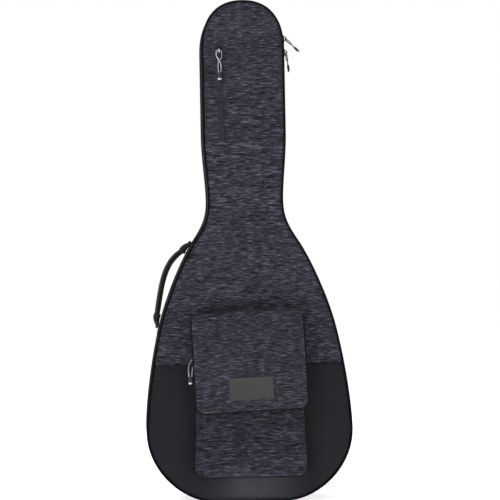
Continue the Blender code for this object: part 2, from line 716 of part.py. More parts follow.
def hang(pieces, pivot):
    """Parents the pieces to an empty on their joint's axis, without moving them."""
    holder = bpy.data.objects.new(pieces[0] + "_axis", None)
    bpy.context.scene.collection.objects.link(holder)
    holder.location = pivot
    for name in pieces:
        piece = bpy.data.objects[name]
        piece.parent = holder
        piece.matrix_parent_inverse = Matrix.Translation(-Vector(pivot))


def hang_moving_pieces(handles):
    flap_pivot = Vector((0.0, front_at(FLAP_TOP_Z) - 0.056, FLAP_TOP_Z - 0.003))
    hang([o.name for o in bpy.data.objects if o.name.startswith("lid_")], (HINGE_X, ZIP_Y, 0.0))
    hang(["pocket_flap", "label_patch", "flap_hook_patch"], flap_pivot)
    for name, pivot in handles.items():
        hang([name + "_grip"], pivot)
    for side, sign in (("left", -1), ("right", 1)):
        pieces = [name + side for name in ("shoulder_pad_", "strap_webbing_", "strap_adjuster_", "strap_hook_")]
        hang(pieces, (sign * STRAP_TOP_X, REAR_Y + STRAP_PIVOT_STAND, STRAP_TOP_Z))


for old in list(bpy.data.objects):
    bpy.data.objects.remove(old)

finishes = make_materials()
build_rear_shell(finishes)
build_lid_shell(finishes)
build_main_zip(finishes)
build_inside(finishes)
build_main_sliders(finishes)
build_neck_pocket(finishes)
pocket_front = build_front_pocket(finishes)
build_flap(finishes, pocket_front)
grips = {"side_handle": build_side_handle(finishes), "back_handle": build_back_handle(finishes)}
build_yoke(finishes)
for strap_side, strap_sign in (("left", -1), ("right", 1)):
    build_strap(strap_side, strap_sign, finishes)
hang_moving_pieces(grips)
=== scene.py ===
import json
from math import atan2, cos, pi, radians, sin

import bmesh
import bpy
from mathutils import Matrix, Vector, kdtree, noise


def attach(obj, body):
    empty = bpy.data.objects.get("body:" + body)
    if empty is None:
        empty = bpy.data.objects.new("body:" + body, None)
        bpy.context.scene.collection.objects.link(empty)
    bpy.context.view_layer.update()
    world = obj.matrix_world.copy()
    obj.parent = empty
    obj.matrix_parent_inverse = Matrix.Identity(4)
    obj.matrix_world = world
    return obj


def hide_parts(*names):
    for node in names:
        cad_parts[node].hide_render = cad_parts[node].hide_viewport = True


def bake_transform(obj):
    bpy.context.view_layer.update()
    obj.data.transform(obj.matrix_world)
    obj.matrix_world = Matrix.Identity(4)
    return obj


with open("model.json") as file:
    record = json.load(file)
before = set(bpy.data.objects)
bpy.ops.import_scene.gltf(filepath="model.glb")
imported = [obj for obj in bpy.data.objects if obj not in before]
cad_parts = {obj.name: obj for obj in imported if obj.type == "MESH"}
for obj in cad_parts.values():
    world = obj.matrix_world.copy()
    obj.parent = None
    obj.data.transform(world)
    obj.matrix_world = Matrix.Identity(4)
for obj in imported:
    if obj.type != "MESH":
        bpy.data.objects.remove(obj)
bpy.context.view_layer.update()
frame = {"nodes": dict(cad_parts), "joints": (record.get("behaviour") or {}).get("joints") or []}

bpy.ops.object.select_all(action="DESELECT")

# The bag's frame, as the CAD has it: front towards -Y, +Z up
bag = {
    "zipY": -0.020,
    "zipHalf": 0.005,
    "frontY": -0.080,
    "backY": 0.080,
    "lidTaper": 0.030,  # how far the front comes back per metre of height
    "seamZ": 0.307,  # woven front above, coated front below
    "hingeLowZ": 0.085,
    "hingeHighZ": 0.330,
}

forwards, backwards, upwards = Vector((0, -1, 0)), Vector((0, 1, 0)), Vector((0, 0, 1))

# Right half of the outline, base to crown: handle before, point, handle after, as (x, z)
outlineAnchors = (
    ((-0.024, 0.0), (0.0, 0.0), (0.024, 0.0)),
    ((0.048, 0.0), (0.072, 0.0), (0.154, 0.0)),
    ((0.230, 0.075), (0.230, 0.158), (0.230, 0.218)),
    ((0.212, 0.330), (0.196, 0.392), (0.183, 0.446)),
    ((0.147, 0.534), (0.117, 0.580), (0.096, 0.612)),
    ((0.084, 0.632), (0.084, 0.672), (0.084, 0.715)),
    ((0.0928, 0.770), (0.0928, 0.825), (0.0928, 0.890)),
    ((0.0928, 0.950), (0.0928, 1.010), (0.0928, 1.078)),
    ((0.061, 1.120), (0.0, 1.120), (-0.061, 1.120)),
)


# Working habits: select one piece, apply what is on it, hand it to a body

def pickOnly(*pieces):
    bpy.ops.object.select_all(action="DESELECT")
    for piece in pieces:
        piece.select_set(True)
    bpy.context.view_layer.objects.active = pieces[-1]


def editMode(piece, select="SELECT"):
    pickOnly(piece)
    bpy.ops.object.mode_set(mode="EDIT")
    bpy.ops.mesh.select_all(action=select)


def objectMode():
    bpy.ops.object.mode_set(mode="OBJECT")


def chooseFaces(piece, wanted):
    # leaves only the faces that pass the test selected, in edit mode
    editMode(piece, "DESELECT")
    bpy.ops.mesh.select_mode(type="FACE")
    work = bmesh.from_edit_mesh(piece.data)
    for face in work.faces:
        face.select_set(wanted(face))
    bmesh.update_edit_mesh(piece.data)


def applyAll(piece):
    pickOnly(piece)
    for modifier in list(piece.modifiers):
        bpy.ops.object.modifier_apply(modifier=modifier.name)


def addModifier(piece, kind, **values):
    modifier = piece.modifiers.new(kind.lower(), kind)
    for key, value in values.items():
        setattr(modifier, key, value)
    return modifier


def settle(piece):
    pickOnly(piece)
    bpy.ops.object.transform_apply(location=True, rotation=True, scale=True)


def smoothed(piece, angle=None):
    pickOnly(piece)
    if angle is None:
        bpy.ops.object.shade_smooth()
    else:
        bpy.ops.object.shade_smooth_by_angle(angle=radians(angle))


def handOver(piece, name, body, finish, nodes=()):
    piece.name = name
    piece.data.name = name
    piece.data.materials.clear()
    piece.data.materials.append(finish)
    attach(piece, body)
    if nodes:
        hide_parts(*nodes)
    return piece


def bevelled(piece, width, segments, angle):
    # rounds the edges sharper than this angle
    addModifier(piece, "BEVEL", width=width, segments=segments, limit_method="ANGLE", angle_limit=radians(angle))


def reshaped(piece, how):
    # moves every point to where how(x, y, z) says
    for vertex in piece.data.vertices:
        vertex.co = how(*vertex.co)


def meshPiece(name, verts, faces):
    mesh = bpy.data.meshes.new(name)
    mesh.from_pydata(verts, [], faces)
    piece = bpy.data.objects.new(name, mesh)
    bpy.context.scene.collection.objects.link(piece)
    return piece


def opened(piece):
    # takes the big end face away
    chooseFaces(piece, lambda face: len(face.verts) > 4)
    bpy.ops.mesh.delete(type="FACE")
    objectMode()


def pointTree(points):
    tree = kdtree.KDTree(len(points))
    for i, point in enumerate(points):
        tree.insert(point, i)
    tree.balance()
    return tree


def camelName(node):
    first, *rest = node.split("_")
    return first + "".join(part.capitalize() for part in rest)


def facingOut(piece):
    editMode(piece)
    bpy.ops.mesh.remove_doubles(threshold=0.00001)
    bpy.ops.mesh.normals_make_consistent(inside=False)
    objectMode()


# Materials

def shaderOf(finish):
    return finish.node_tree.nodes["Principled BSDF"]


def newMaterial(name, color, roughness, metallic=0.0, sheen=0.0, sheenTint=None, specular=0.5):
    made = bpy.data.materials.new(name)
    made.use_nodes = True
    values = {"Base Color": (*color, 1.0), "Roughness": roughness, "Metallic": metallic, "Sheen Weight": sheen,
              "Sheen Roughness": 0.45, "Specular IOR Level": specular}
    if sheenTint:
        values["Sheen Tint"] = (*sheenTint, 1.0)
    for entry, value in values.items():
        shaderOf(made).inputs[entry].default_value = value
    return made


def addNode(finish, kind, values=(), **settings):
    made = finish.node_tree.nodes.new("ShaderNode" + kind)
    for key, value in settings.items():
        setattr(made, key, value)
    for key, value in dict(values).items():
        made.inputs[key].default_value = value
    return made


def wire(finish, *chain):
    # (node, output, node, input) rows
    for source, output, target, entry in chain:
        finish.node_tree.links.new(source.outputs[output], target.inputs[entry])


def placed(finish, scale=(1, 1, 1), turn=(0.0, 0.0, 0.0), onUv=False):
    # a Mapping node on the piece's own place in metres, or on its UV map
    coordinate = addNode(finish, "TexCoord")
    turned = addNode(finish, "Mapping", {"Rotation": turn})
    mapping = addNode(finish, "Mapping", {"Scale": scale})
    wire(finish, (coordinate, "UV" if onUv else "Object", turned, "Vector"), (turned, 0, mapping, "Vector"))
    return mapping


def textured(finish, kind, place, values, **settings):
    # a texture read at a mapped place
    made = addNode(finish, "Tex" + kind, values, **settings)
    wire(finish, (place, "Vector", made, "Vector"))
    return made


def ramp(finish, source, output, stops):
    made = addNode(finish, "ValToRGB")
    bar = made.color_ramp
    while len(bar.elements) < len(stops):
        bar.elements.new(0.5)
    for element, (place, shade) in zip(bar.elements, stops):
        element.position = place
        element.color = (*shade, 1.0)
    wire(finish, (source, output, made, "Fac"))
    return made


def drives(finish, source, output, stops, entry="Base Color"):
    # a texture through a ramp into an entry of the shader
    made = ramp(finish, source, output, stops)
    wire(finish, (made, "Color", shaderOf(finish), entry))
    return made


def grey(value):
    return (value, value, value)


def toned(base, *steps):
    # ramp stops as (place, how much of the base colour)
    return [(place, tuple(share * c for c in base)) for place, share in steps]


def glossed(roughness, less, more):
    return (0.3, grey(roughness - less)), (0.7, grey(roughness + more))


def bumpFrom(finish, sources, distance, strength):
    # adds up (node, output, share) heights and bumps the surface with them
    total = None
    for source, output, share in sources:
        scaled = addNode(finish, "Math", {1: share}, operation="MULTIPLY")
        wire(finish, (source, output, scaled, 0))
        if total is not None:
            both = addNode(finish, "Math", operation="ADD")
            wire(finish, (total, 0, both, 0), (scaled, 0, both, 1))
            scaled = both
        total = scaled
    bump = addNode(finish, "Bump", {"Strength": strength, "Distance": distance})
    wire(finish, (total, 0, bump, "Height"), (bump, "Normal", shaderOf(finish), "Normal"))


def waveScale(pitch):
    # the Wave texture's scale for one wave per pitch in metres
    return 2 * pi / (20 * pitch)


def weaveHeights(finish, pitch, turn=(0.0, 0.0, 0.0)):
    # over-and-under threads: two crossed rows of waves, as (node, output, share)
    place = placed(finish, turn=turn)
    values = {"Scale": waveScale(pitch), "Distortion": 0.4, "Detail": 1.0}
    return [(textured(finish, "Wave", place, values, bands_direction=direction), "Fac", 0.5) for direction in "XZ"]


def melangeMaterial(name, turn=0.0, base=(0.0378, 0.0356, 0.0496), seed=0.0):
    # woven polyester with slubs: short level streaks, paler and darker than the ground
    made = newMaterial(name, base, 0.9, sheen=0.05, sheenTint=(0.8, 0.78, 0.9), specular=0.12)
    turned = (0.0, turn, 0.0)
    slubTones = toned(base, (0.32, 0.36), (0.44, 0.70), (0.54, 1.02), (0.62, 2.15), (0.71, 4.0))
    layers = []
    for scale, shift, detail, roughness, stops in (
        ((62, 62, 520), (seed, seed, seed), 2.0, 0.62, slubTones),
        ((36, 36, 380), (seed + 7.3, 1.7, 3.1), 2.0, 0.5, ((0.36, grey(0.36)), (0.47, grey(1.0)))),
        ((9, 9, 34), (0, 0, 0), 1.0, 0.5, ((0.3, grey(0.88)), (0.7, grey(1.12)))),
        ((260, 260, 620), (3.9, seed, 8.2), 1.0, 0.6, ((0.66, grey(0.0)), (0.76, grey(0.07)))),
    ):
        place = placed(made, scale, turned)
        place.inputs["Location"].default_value = shift
        threads = textured(made, "Noise", place, {"Scale": 1.0, "Detail": detail, "Roughness": roughness})
        layers.append((threads, ramp(made, threads, "Fac", stops)))
    total, output = layers[0][1], "Color"
    for (threads, tones), way in zip(layers[1:], ("MULTIPLY", "MULTIPLY", "ADD")):
        both = addNode(made, "Mix", {"Factor": 1.0}, data_type="RGBA", blend_type=way)
        wire(made, (total, output, both, "A"), (tones, "Color", both, "B"))
        total, output = both, "Result"
    wire(made, (total, output, shaderOf(made), "Base Color"))
    bumpFrom(made, [*weaveHeights(made, 0.0011, turned), (layers[0][0], "Fac", 1.6)], 0.0004, 0.6)
    return made


def coatedMaterial(name, base, roughness=0.52, specular=0.14):
    # smooth coated cloth: fine woven grain, soft shine, faint rubbed patches
    made = newMaterial(name, base, roughness, sheen=0.03, sheenTint=(0.75, 0.75, 0.85), specular=specular)
    rubbed = textured(made, "Noise", placed(made, (14, 14, 14)), {"Scale": 1.0, "Detail": 4.0, "Roughness": 0.55})
    grain = textured(made, "Noise", placed(made, (900, 900, 900)), {"Scale": 1.0, "Detail": 2.0})
    drives(made, rubbed, "Fac", toned(base, (0.3, 0.9), (0.7, 1.12)))
    drives(made, rubbed, "Fac", glossed(roughness, 0.06, 0.08), "Roughness")
    bumpFrom(made, [*weaveHeights(made, 0.0008), (grain, "Fac", 0.6)], 0.00015, 0.5)
    return made


def webbingMaterial(name, base, pitch=0.0022):
    # ribs across the strap on its own UV map, which is in metres: u across, v along
    made = newMaterial(name, base, 0.7, sheen=0.2, specular=0.3)
    place = placed(made, onUv=True)
    ribbing = {"Scale": waveScale(pitch), "Distortion": 1.0, "Detail": 1.0, "Detail Scale": 3.0}
    ribs = textured(made, "Wave", place, ribbing, bands_direction="Y")
    rows = textured(made, "Wave", place, {"Scale": waveScale(0.0030), "Distortion": 0.3}, bands_direction="X")
    thread = textured(made, "Noise", place, {"Scale": 900.0, "Detail": 2.0})
    # the ribs' grooves painted darker and their crests lighter, following the waves of the bump: painted shade and
    # painted highlight
    drives(made, ribs, "Fac", toned(base, (0.0, 0.55), (0.6, 1.0), (1.0, 1.5)))
    bumpFrom(made, [(ribs, "Fac", 1.0), (rows, "Fac", 0.45), (thread, "Fac", 0.3)], 0.0005, 0.8)
    return made


def plushMaterial(name, base):
    # short pile lining: clumped nap that catches light at its edges
    made = newMaterial(name, base, 0.95, sheen=0.6, sheenTint=(0.9, 0.9, 1.0), specular=0.1)
    place = placed(made)
    nap = textured(made, "Noise", place, {"Scale": 420.0, "Detail": 3.0, "Roughness": 0.7})
    clump = textured(made, "Noise", place, {"Scale": 38.0, "Detail": 3.0})
    drives(made, clump, "Fac", toned(base, (0.3, 0.72), (0.7, 1.25)))
    bumpFrom(made, [(nap, "Fac", 1.0), (clump, "Fac", 1.2)], 0.0009, 0.7)
    return made


def foamMaterial(name, base):
    # open foam: small cells, their middles painted darker as painted shade in the pores
    made = newMaterial(name, base, 0.95, specular=0.1)
    cells = textured(made, "Voronoi", placed(made), {"Scale": 700.0})
    drives(made, cells, "Distance", toned(base, (0.0, 0.6), (0.6, 1.0)))
    bumpFrom(made, [(cells, "Distance", 1.0)], 0.0006, 0.8)
    return made


def meshClothMaterial(name, base):
    # spacer mesh of the shoulder pads: rows of small round holes
    made = newMaterial(name, base, 0.85, sheen=0.3, specular=0.2)
    holes = textured(made, "Voronoi", placed(made, (290, 1, 330)), {"Scale": 1.0, "Randomness": 0.12})
    # the holes painted dark and the ridges between them painted lighter: painted shade in the holes, painted highlight
    # on the ridges
    drives(made, holes, "Distance", toned(base, (0.10, 0.25), (0.34, 1.0), (0.7, 1.5)))
    bumpFrom(made, [(holes, "Distance", 1.0)], 0.0010, 0.9)
    return made


def metalMaterial(name, base, roughness):
    # plated metal, a little worn
    made = newMaterial(name, base, roughness, metallic=1.0)
    worn = textured(made, "Noise", placed(made), {"Scale": 260.0, "Detail": 4.0, "Roughness": 0.65})
    drives(made, worn, "Fac", toned(base, (0.3, 0.75), (0.7, 1.15)))
    drives(made, worn, "Fac", glossed(roughness, 0.08, 0.15), "Roughness")
    bumpFrom(made, [(worn, "Fac", 1.0)], 0.0001, 0.4)
    return made


def mouldedMaterial(name, base, roughness, grainScale=900.0):
    # moulded rubber or plastic: fine spark-eroded grain, and broad patches that differ a little in tone and gloss
    made = newMaterial(name, base, roughness, specular=0.45)
    place = placed(made)
    grain = textured(made, "Noise", place, {"Scale": grainScale, "Detail": 2.0})
    smear = textured(made, "Noise", place, {"Scale": 60.0, "Detail": 3.0})
    drives(made, smear, "Fac", toned(base, (0.3, 0.9), (0.7, 1.1)))
    drives(made, smear, "Fac", glossed(roughness, 0.06, 0.10), "Roughness")
    bumpFrom(made, [(grain, "Fac", 1.0)], 0.00012, 0.6)
    return made


def cordMaterial(name):
    # black braid with pale carrier threads, on a UV map with u round the cord and v along it, both 0 to 1
    made = newMaterial(name, (0.02, 0.02, 0.022), 0.75, sheen=0.2, specular=0.3)
    place = placed(made, (1.3, 20.0, 1.0), onUv=True)
    threads = textured(made, "Voronoi", place, {"Scale": 1.6, "Randomness": 0.85})
    rows = textured(made, "Wave", place, {"Scale": 0.9, "Distortion": 1.0}, bands_direction="DIAGONAL")
    carriers = addNode(made, "SeparateColor")
    wire(made, (threads, "Color", carriers, "Color"))
    tone = drives(made, carriers, "Red", ((0.50, (0.010, 0.010, 0.012)), (0.57, (0.09, 0.09, 0.10)),
                                          (0.63, (0.82, 0.82, 0.84))))
    tone.color_ramp.interpolation = "EASE"
    bumpFrom(made, [(threads, "Distance", 1.0), (rows, "Fac", 0.5)], 0.0004, 0.8)
    return made


def hookMaterial(name, base):
    # hook-and-loop tape: dense short fuzz
    made = newMaterial(name, base, 0.95, sheen=0.3, specular=0.1)
    fuzz = textured(made, "Voronoi", placed(made), {"Scale": 1100.0})
    # the tops of the fuzz painted lighter and the gaps between them darker: painted highlight and painted shade
    drives(made, fuzz, "Distance", toned(base, (0.1, 1.5), (0.5, 0.5)))
    bumpFrom(made, [(fuzz, "Distance", -1.0)], 0.0008, 0.8)
    return made


finishes = {
    "melange": melangeMaterial("melangeCloth"),
    # the flap's copy of the lid's melange: threads turned with the flap and a seed of its own, its base darker as
    # painted shade
    "flapMelangePaintedShade": melangeMaterial("melangeClothFlapPaintedShade", radians(2.4), (0.0320, 0.0306, 0.0425), seed=31.0),
    # the pocket's copy of the lid's melange: a seed of its own, its base much darker as painted shade
    "pocketMelangePaintedShadeCopy": melangeMaterial("melangeClothPocketPaintedShade", base=(0.0250, 0.0238, 0.0338), seed=57.0),
    "coated": coatedMaterial("coatedCloth", (0.0090, 0.0085, 0.0122)),
    "wall": coatedMaterial("wallCloth", (0.0060, 0.0057, 0.0080), 0.6, 0.05),
    "piping": coatedMaterial("pipingCloth", (0.003, 0.003, 0.004), 0.7),
    "lidPiping": coatedMaterial("lidPipingCloth", (0.0045, 0.0044, 0.0056), 0.7, 0.05),
    "zipLip": coatedMaterial("zipLipCoating", (0.027, 0.0258, 0.0340), 0.55),
    "webbing": webbingMaterial("ribbedWebbing", (0.011, 0.011, 0.012)),
    "zipTape": webbingMaterial("zipTapeWeave", (0.012, 0.012, 0.014), 0.0012),
    "zipTeeth": mouldedMaterial("zipTeethNylon", (0.010, 0.010, 0.011), 0.35),
    "stitch": mouldedMaterial("stitchThread", (0.016, 0.016, 0.019), 0.6),
    "plush": plushMaterial("plushPile", (0.085, 0.085, 0.095)),
    "foam": foamMaterial("foamCells", (0.16, 0.16, 0.17)),
    "mesh": meshClothMaterial("spacerMesh", (0.017, 0.017, 0.019)),
    "metal": metalMaterial("brightZipMetal", (0.62, 0.62, 0.64), 0.28),
    "darkMetal": metalMaterial("blackedMetal", (0.045, 0.045, 0.05), 0.34),
    "cord": cordMaterial("fleckedCord"),
    "rubber": mouldedMaterial("gripRubber", (0.02, 0.02, 0.022), 0.5),
    "label": mouldedMaterial("labelRubber", (0.028, 0.028, 0.025), 0.62, 700.0),
    "plastic": mouldedMaterial("buckleAcetal", (0.014, 0.014, 0.015), 0.38),
    "hook": hookMaterial("hookAndLoop", (0.014, 0.014, 0.016)),
}
print("materials made:", len(finishes))


# Camera, floor and light

studio = {
    "distance": 4.5,
    "lens": 143.2,
    "azimuth": radians(-2.6),
    "elevation": radians(0.8),
    "roll": radians(-1.0),
    "target": Vector((0.0105, 0.0, 0.5600)),
    "worldLight": 0.27,
}


def placeCamera():
    back = Vector((sin(studio["azimuth"]) * cos(studio["elevation"]),
                   -cos(studio["azimuth"]) * cos(studio["elevation"]), sin(studio["elevation"])))
    bpy.ops.object.camera_add(location=studio["target"] + back * studio["distance"])
    camera = bpy.context.object
    camera.name = "studioCamera"
    camera.rotation_euler = (back.to_track_quat("Z", "Y") @ Matrix.Rotation(
        studio["roll"], 3, "Z").to_quaternion()).to_euler()
    camera.data.lens = studio["lens"]
    camera.data.sensor_width = 36.0
    camera.data.clip_end = 60.0
    bpy.context.scene.camera = camera


def addSoftbox(name, place, aim, size, energy, spread=180):
    # spread in degrees: a small one is a light behind a grid, which keeps to what it is aimed at
    bpy.ops.object.light_add(type="AREA", location=place)
    lamp = bpy.context.object
    lamp.name = name
    lamp.rotation_euler = (Vector(place) - Vector(aim)).to_track_quat("Z", "Y").to_euler()
    lamp.data.shape = "RECTANGLE"
    lamp.data.size, lamp.data.size_y = size
    lamp.data.energy = energy
    lamp.data.spread = radians(spread)


def lightStudio():
    world = bpy.data.worlds.new("paleStudio")
    bpy.context.scene.world = world
    world.use_nodes = True
    tree = world.node_tree
    seen = tree.nodes["Background"]
    seen.inputs["Color"].default_value = (1.0, 1.0, 1.0, 1.0)
    seen.inputs["Strength"].default_value = 1.0
    lighting = tree.nodes.new("ShaderNodeBackground")
    lighting.inputs["Color"].default_value = (1.0, 1.0, 1.0, 1.0)
    lighting.inputs["Strength"].default_value = studio["worldLight"]
    path = tree.nodes.new("ShaderNodeLightPath")
    choice = tree.nodes.new("ShaderNodeMixShader")
    tree.links.new(path.outputs["Is Camera Ray"], choice.inputs["Fac"])
    tree.links.new(lighting.outputs["Background"], choice.inputs[1])
    tree.links.new(seen.outputs["Background"], choice.inputs[2])
    tree.links.new(choice.outputs["Shader"], tree.nodes["World Output"].inputs["Surface"])
    addSoftbox("keyLight", (-1.6, -2.1, 2.4), (0, 0, 1.10), (0.9, 0.9), 45)
    addSoftbox("fillLight", (2.2, -2.0, 1.0), (0, 0, 0.5), (1.6, 2.0), 8)
    addSoftbox("rimLight", (0.5, 2.4, 2.2), (0, 0, 0.7), (1.6, 1.2), 32)
    addSoftbox("lowLight", (0.0, -1.1, 0.045), (0, -0.1, 0.03), (1.2, 0.08), 2)
    addSoftbox("footLight", (0.01, -0.70, 0.020), (0.01, -0.08, 0.032), (0.14, 0.02), 0.042, spread=14)


def layFloor():
    bpy.ops.mesh.primitive_plane_add(size=30.0, location=(0, 0, -0.0008))
    floor = bpy.context.object
    floor.name = "studioFloor"
    paper = newMaterial("paleFloor", (0.9, 0.9, 0.9), 0.9, specular=0.1)
    shaderOf(paper).inputs["Emission Color"].default_value = (1.0, 1.0, 1.0, 1.0)
    shaderOf(paper).inputs["Emission Strength"].default_value = 0.77
    floor.data.materials.append(paper)


placeCamera()
lightStudio()
layFloor()
bpy.context.scene.view_settings.view_transform = "Standard"
print("camera, light and floor placed")


# Zip pulls: a flecked cord doubled through each slider, its ends moulded into a grip

pullCord = {"radius": 0.0014, "gap": 0.0004}  # the gap keeps the grip off the cord's ends
crossingLeg = (
    (0.0, 0.0, 0.0), (0.0040, 0.0, -0.0002), (0.0062, 0.0002, -0.0035), (0.0060, 0.0009, -0.0120),
    (0.0018, 0.0016, -0.0210), (-0.0018, 0.0016, -0.0270), (-0.0034, 0.0008, -0.0350),
    (-0.0030, 0.0, -0.0430), (-0.0024, 0.0, -0.0500),
)
shortLeg = (
    (0.0, 0.0, 0.0), (0.0040, 0.0, -0.0002), (0.0062, 0.0004, -0.0036), (0.0046, 0.0012, -0.0088),
    (0.0, 0.0017, -0.0135), (-0.0031, 0.0010, -0.0185), (-0.0030, 0.0, -0.0235), (-0.0024, 0.0, -0.0280),
)
droopingLegs = (
    ((0.0, 0.0, 0.0), (-0.0006, 0.0, 0.0045), (-0.006, 0.0, 0.0068), (-0.0190, 0.0, 0.0052),
     (-0.0262, 0.0, -0.0010), (-0.0300, 0.0, -0.0110), (-0.0306, 0.0, -0.0220), (-0.0298, 0.0, -0.0340)),
    ((0.0, 0.0, 0.0), (-0.0006, 0.0, -0.0045), (-0.0055, 0.0, -0.0068), (-0.0150, 0.0, -0.0074),
     (-0.0207, 0.0, -0.0110), (-0.0228, 0.0, -0.0180), (-0.0234, 0.0, -0.0260), (-0.0238, 0.0, -0.0340)),
)
leanTurn = Matrix.Rotation(-atan2(bag["lidTaper"], 1.0), 4, "X")  # the front's slope
quarterTurn = Matrix.Rotation(pi / 2, 4, "Z")  # from the front to the right side


def bothLegs(leg):
    # the second leg is the first turned half round
    return tuple((-x, -y, z) for x, y, z in leg), leg


zipPulls = {
    # name: how it is turned, how many degrees it hangs away from its slider, its two legs
    "main_upper": (quarterTurn, 46, bothLegs(shortLeg)),
    "main_lower": (quarterTurn, 8, bothLegs(shortLeg)),
    "neck_pocket": (leanTurn, 3, bothLegs(crossingLeg)),
    "pocket": (leanTurn, 0, droopingLegs),
}
pullPlaces = {joint["child"]: Vector(joint["pos_m"]) for joint in frame["joints"] if joint["child"].endswith("_pull")}


def smoothLine(points, steps):
    # Catmull-Rom through the points
    line = []
    ends = [2 * points[0] - points[1], *points, 2 * points[-1] - points[-2]]
    for a, b, c, d in zip(ends, ends[1:], ends[2:], ends[3:]):
        for k in range(steps):
            t = k / steps
            line.append(0.5 * (2 * b + (c - a) * t + (2 * a - 5 * b + 4 * c - d) * t * t
                               + (3 * b - a - 3 * c + d) * t ** 3))
    line.append(points[-1].copy())
    return line


def distancesAlong(points):
    # how far along the line each point is
    travelled = [0.0]
    for a, b in zip(points, points[1:]):
        travelled.append(travelled[-1] + (b - a).length)
    return travelled


def routeLength(points):
    return distancesAlong(points)[-1]


def tubeAlong(name, points, radius, closed=False, sides=3, radii=None):
    # a curve with a round bevel, made a mesh that keeps its UV map
    line = bpy.data.curves.new(name, "CURVE")
    line.dimensions = "3D"
    line.bevel_depth = radius
    line.bevel_resolution = sides
    line.use_fill_caps = not closed
    spline = line.splines.new("POLY")
    spline.points.add(len(points) - 1)
    for i, point in enumerate(points):
        spline.points[i].co = (*point, 1.0)
        spline.points[i].radius = radii[i] if radii else 1.0
    spline.use_cyclic_u = closed
    piece = bpy.data.objects.new(name, line)
    bpy.context.scene.collection.objects.link(piece)
    pickOnly(piece)
    bpy.ops.object.convert(target="MESH")
    piece = bpy.context.object
    smoothed(piece)
    return piece


gripEnd = {
    "halfX": 0.0056, "halfY": 0.0029, "length": 0.0105,
    "ribs": (0.88, 0.92, 1.10, 0.92, 1.10, 0.92, 1.0, 1.0),  # how wide each ring of the sleeve is
    "capX": 0.0050, "capY": 0.0028, "capLength": 0.0062,
}


def makeGrip(name, middle, top, turn, place, body):
    # moulded end: a flat ribbed sleeve and a pale cap
    wide, deep, length, capLength = (gripEnd[key] for key in ("halfX", "halfY", "length", "capLength"))
    bpy.ops.mesh.primitive_cylinder_add(vertices=20, radius=1.0, depth=1.0)
    sleeve = bpy.context.object
    reshaped(sleeve, lambda x, y, z: (wide * x, deep * y, length * (z - 0.5)))
    chooseFaces(sleeve, lambda face: abs(face.normal.z) < 0.5)
    bpy.ops.mesh.subdivide_edgering(number_cuts=6, interpolation="LINEAR")
    objectMode()
    for vertex in sleeve.data.vertices:
        rib = gripEnd["ribs"][round(-vertex.co.z / length * 7)]
        vertex.co.x *= rib
        vertex.co.y *= rib
    bevelled(sleeve, 0.0003, 2, 50)
    addModifier(sleeve, "SUBSURF", levels=1, render_levels=1)
    applyAll(sleeve)
    bpy.ops.mesh.primitive_uv_sphere_add(segments=20, ring_count=12, radius=1.0)
    cap = bpy.context.object
    for vertex in cap.data.vertices:
        x, y, z = vertex.co
        squareness = 1.0 + 0.25 * (1 - abs(z)) * abs(x) * abs(y)
        vertex.co = (gripEnd["capX"] * x * squareness, gripEnd["capY"] * y * squareness,
                     0.5 * capLength * z - length - 0.42 * capLength)
    for piece, suffix, finish in ((sleeve, "GripSleeve", "rubber"), (cap, "GripCap", "metal")):
        piece.data.transform(Matrix.Translation(place) @ turn @ Matrix.Translation((middle.x, 0, top)))
        smoothed(piece, 40)
        handOver(piece, name + suffix, body, finishes[finish])
    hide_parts(body.replace("_pull", "_grip"))
    return sleeve, cap


def makePull(node, place, turn, legs):
    near, far = (smoothLine([Vector(p) for p in leg], 2) for leg in legs)
    local = smoothLine([*reversed(near[1:]), *far], 4)
    top = (near[-1].z + far[-1].z) / 2 - pullCord["gap"]
    middle = (near[-1] + far[-1]) / 2
    route = [Matrix.Translation(place) @ turn @ p for p in local]
    name = camelName(node)
    cord = tubeAlong(name + "Cord", route, pullCord["radius"], sides=4)
    body = node + "_pull"
    handOver(cord, name + "Cord", body, finishes["cord"], [node + "_cord"])
    ends = makeGrip(name, middle, top, turn, place, body)


for pullName, (pullTurn, hangs, pullLegs) in zipPulls.items():
    hanging = pullTurn @ Matrix.Rotation(-radians(hangs), 4, "X")
    makePull(pullName, pullPlaces[pullName + "_pull"], hanging, pullLegs)
print("zip pulls made")


# Zip sliders

zipSlider = {"halfWidth": 0.0037, "halfLength": 0.0084, "plate": 0.0026, "eyeOut": 0.0048, "eye": 0.0050,
             "wire": 0.00105}


def makeSlider(name, place, turn, body):
    # in its own frame the slider lies on a surface facing -Y and runs along Z
    size = zipSlider
    bpy.ops.mesh.primitive_cube_add(size=2.0)
    plate = bpy.context.object
    reshaped(plate, lambda x, y, z: (size["halfWidth"] * x, size["plate"] * (y - 1) / 2, size["halfLength"] * z))
    editMode(plate)
    bpy.ops.mesh.subdivide(number_cuts=3)
    objectMode()
    for vertex in plate.data.vertices:
        along = vertex.co.z / size["halfLength"]
        vertex.co.x *= 0.80 + 0.20 * cos(pi * along) ** 2 + 0.08 * along
        if vertex.co.y < -0.6 * size["plate"]:
            vertex.co.y += 0.0006 * along * along
    bevelled(plate, 0.0004, 2, 40)
    addModifier(plate, "SUBSURF", levels=1, render_levels=1)
    applyAll(plate)
    bpy.ops.mesh.primitive_torus_add(major_radius=size["eye"], minor_radius=size["wire"], major_segments=36,
                                     minor_segments=12, rotation=(0, pi / 2, 0))
    eye = bpy.context.object
    settle(eye)
    for vertex in eye.data.vertices:
        vertex.co.y = vertex.co.y * 1.02 - 0.0020
        vertex.co.x *= 1.5
    eyeFinish = "darkMetal" if "main" in name else "metal"
    for piece, suffix, finish, slot in ((plate, "SliderPlate", "darkMetal", "dark_metal"),
                                        (eye, "SliderEye", eyeFinish, "zip_metal")):
        piece.data.transform(Matrix.Translation(place) @ turn)
        smoothed(piece, 45)
        handOver(piece, name + suffix, body, finishes[finish])
    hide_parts(body)


def frontAt(z):
    return bag["frontY"] + bag["lidTaper"] * z


# Outline: drawn once as a Bezier curve, then every wall and panel starts from a copy of it

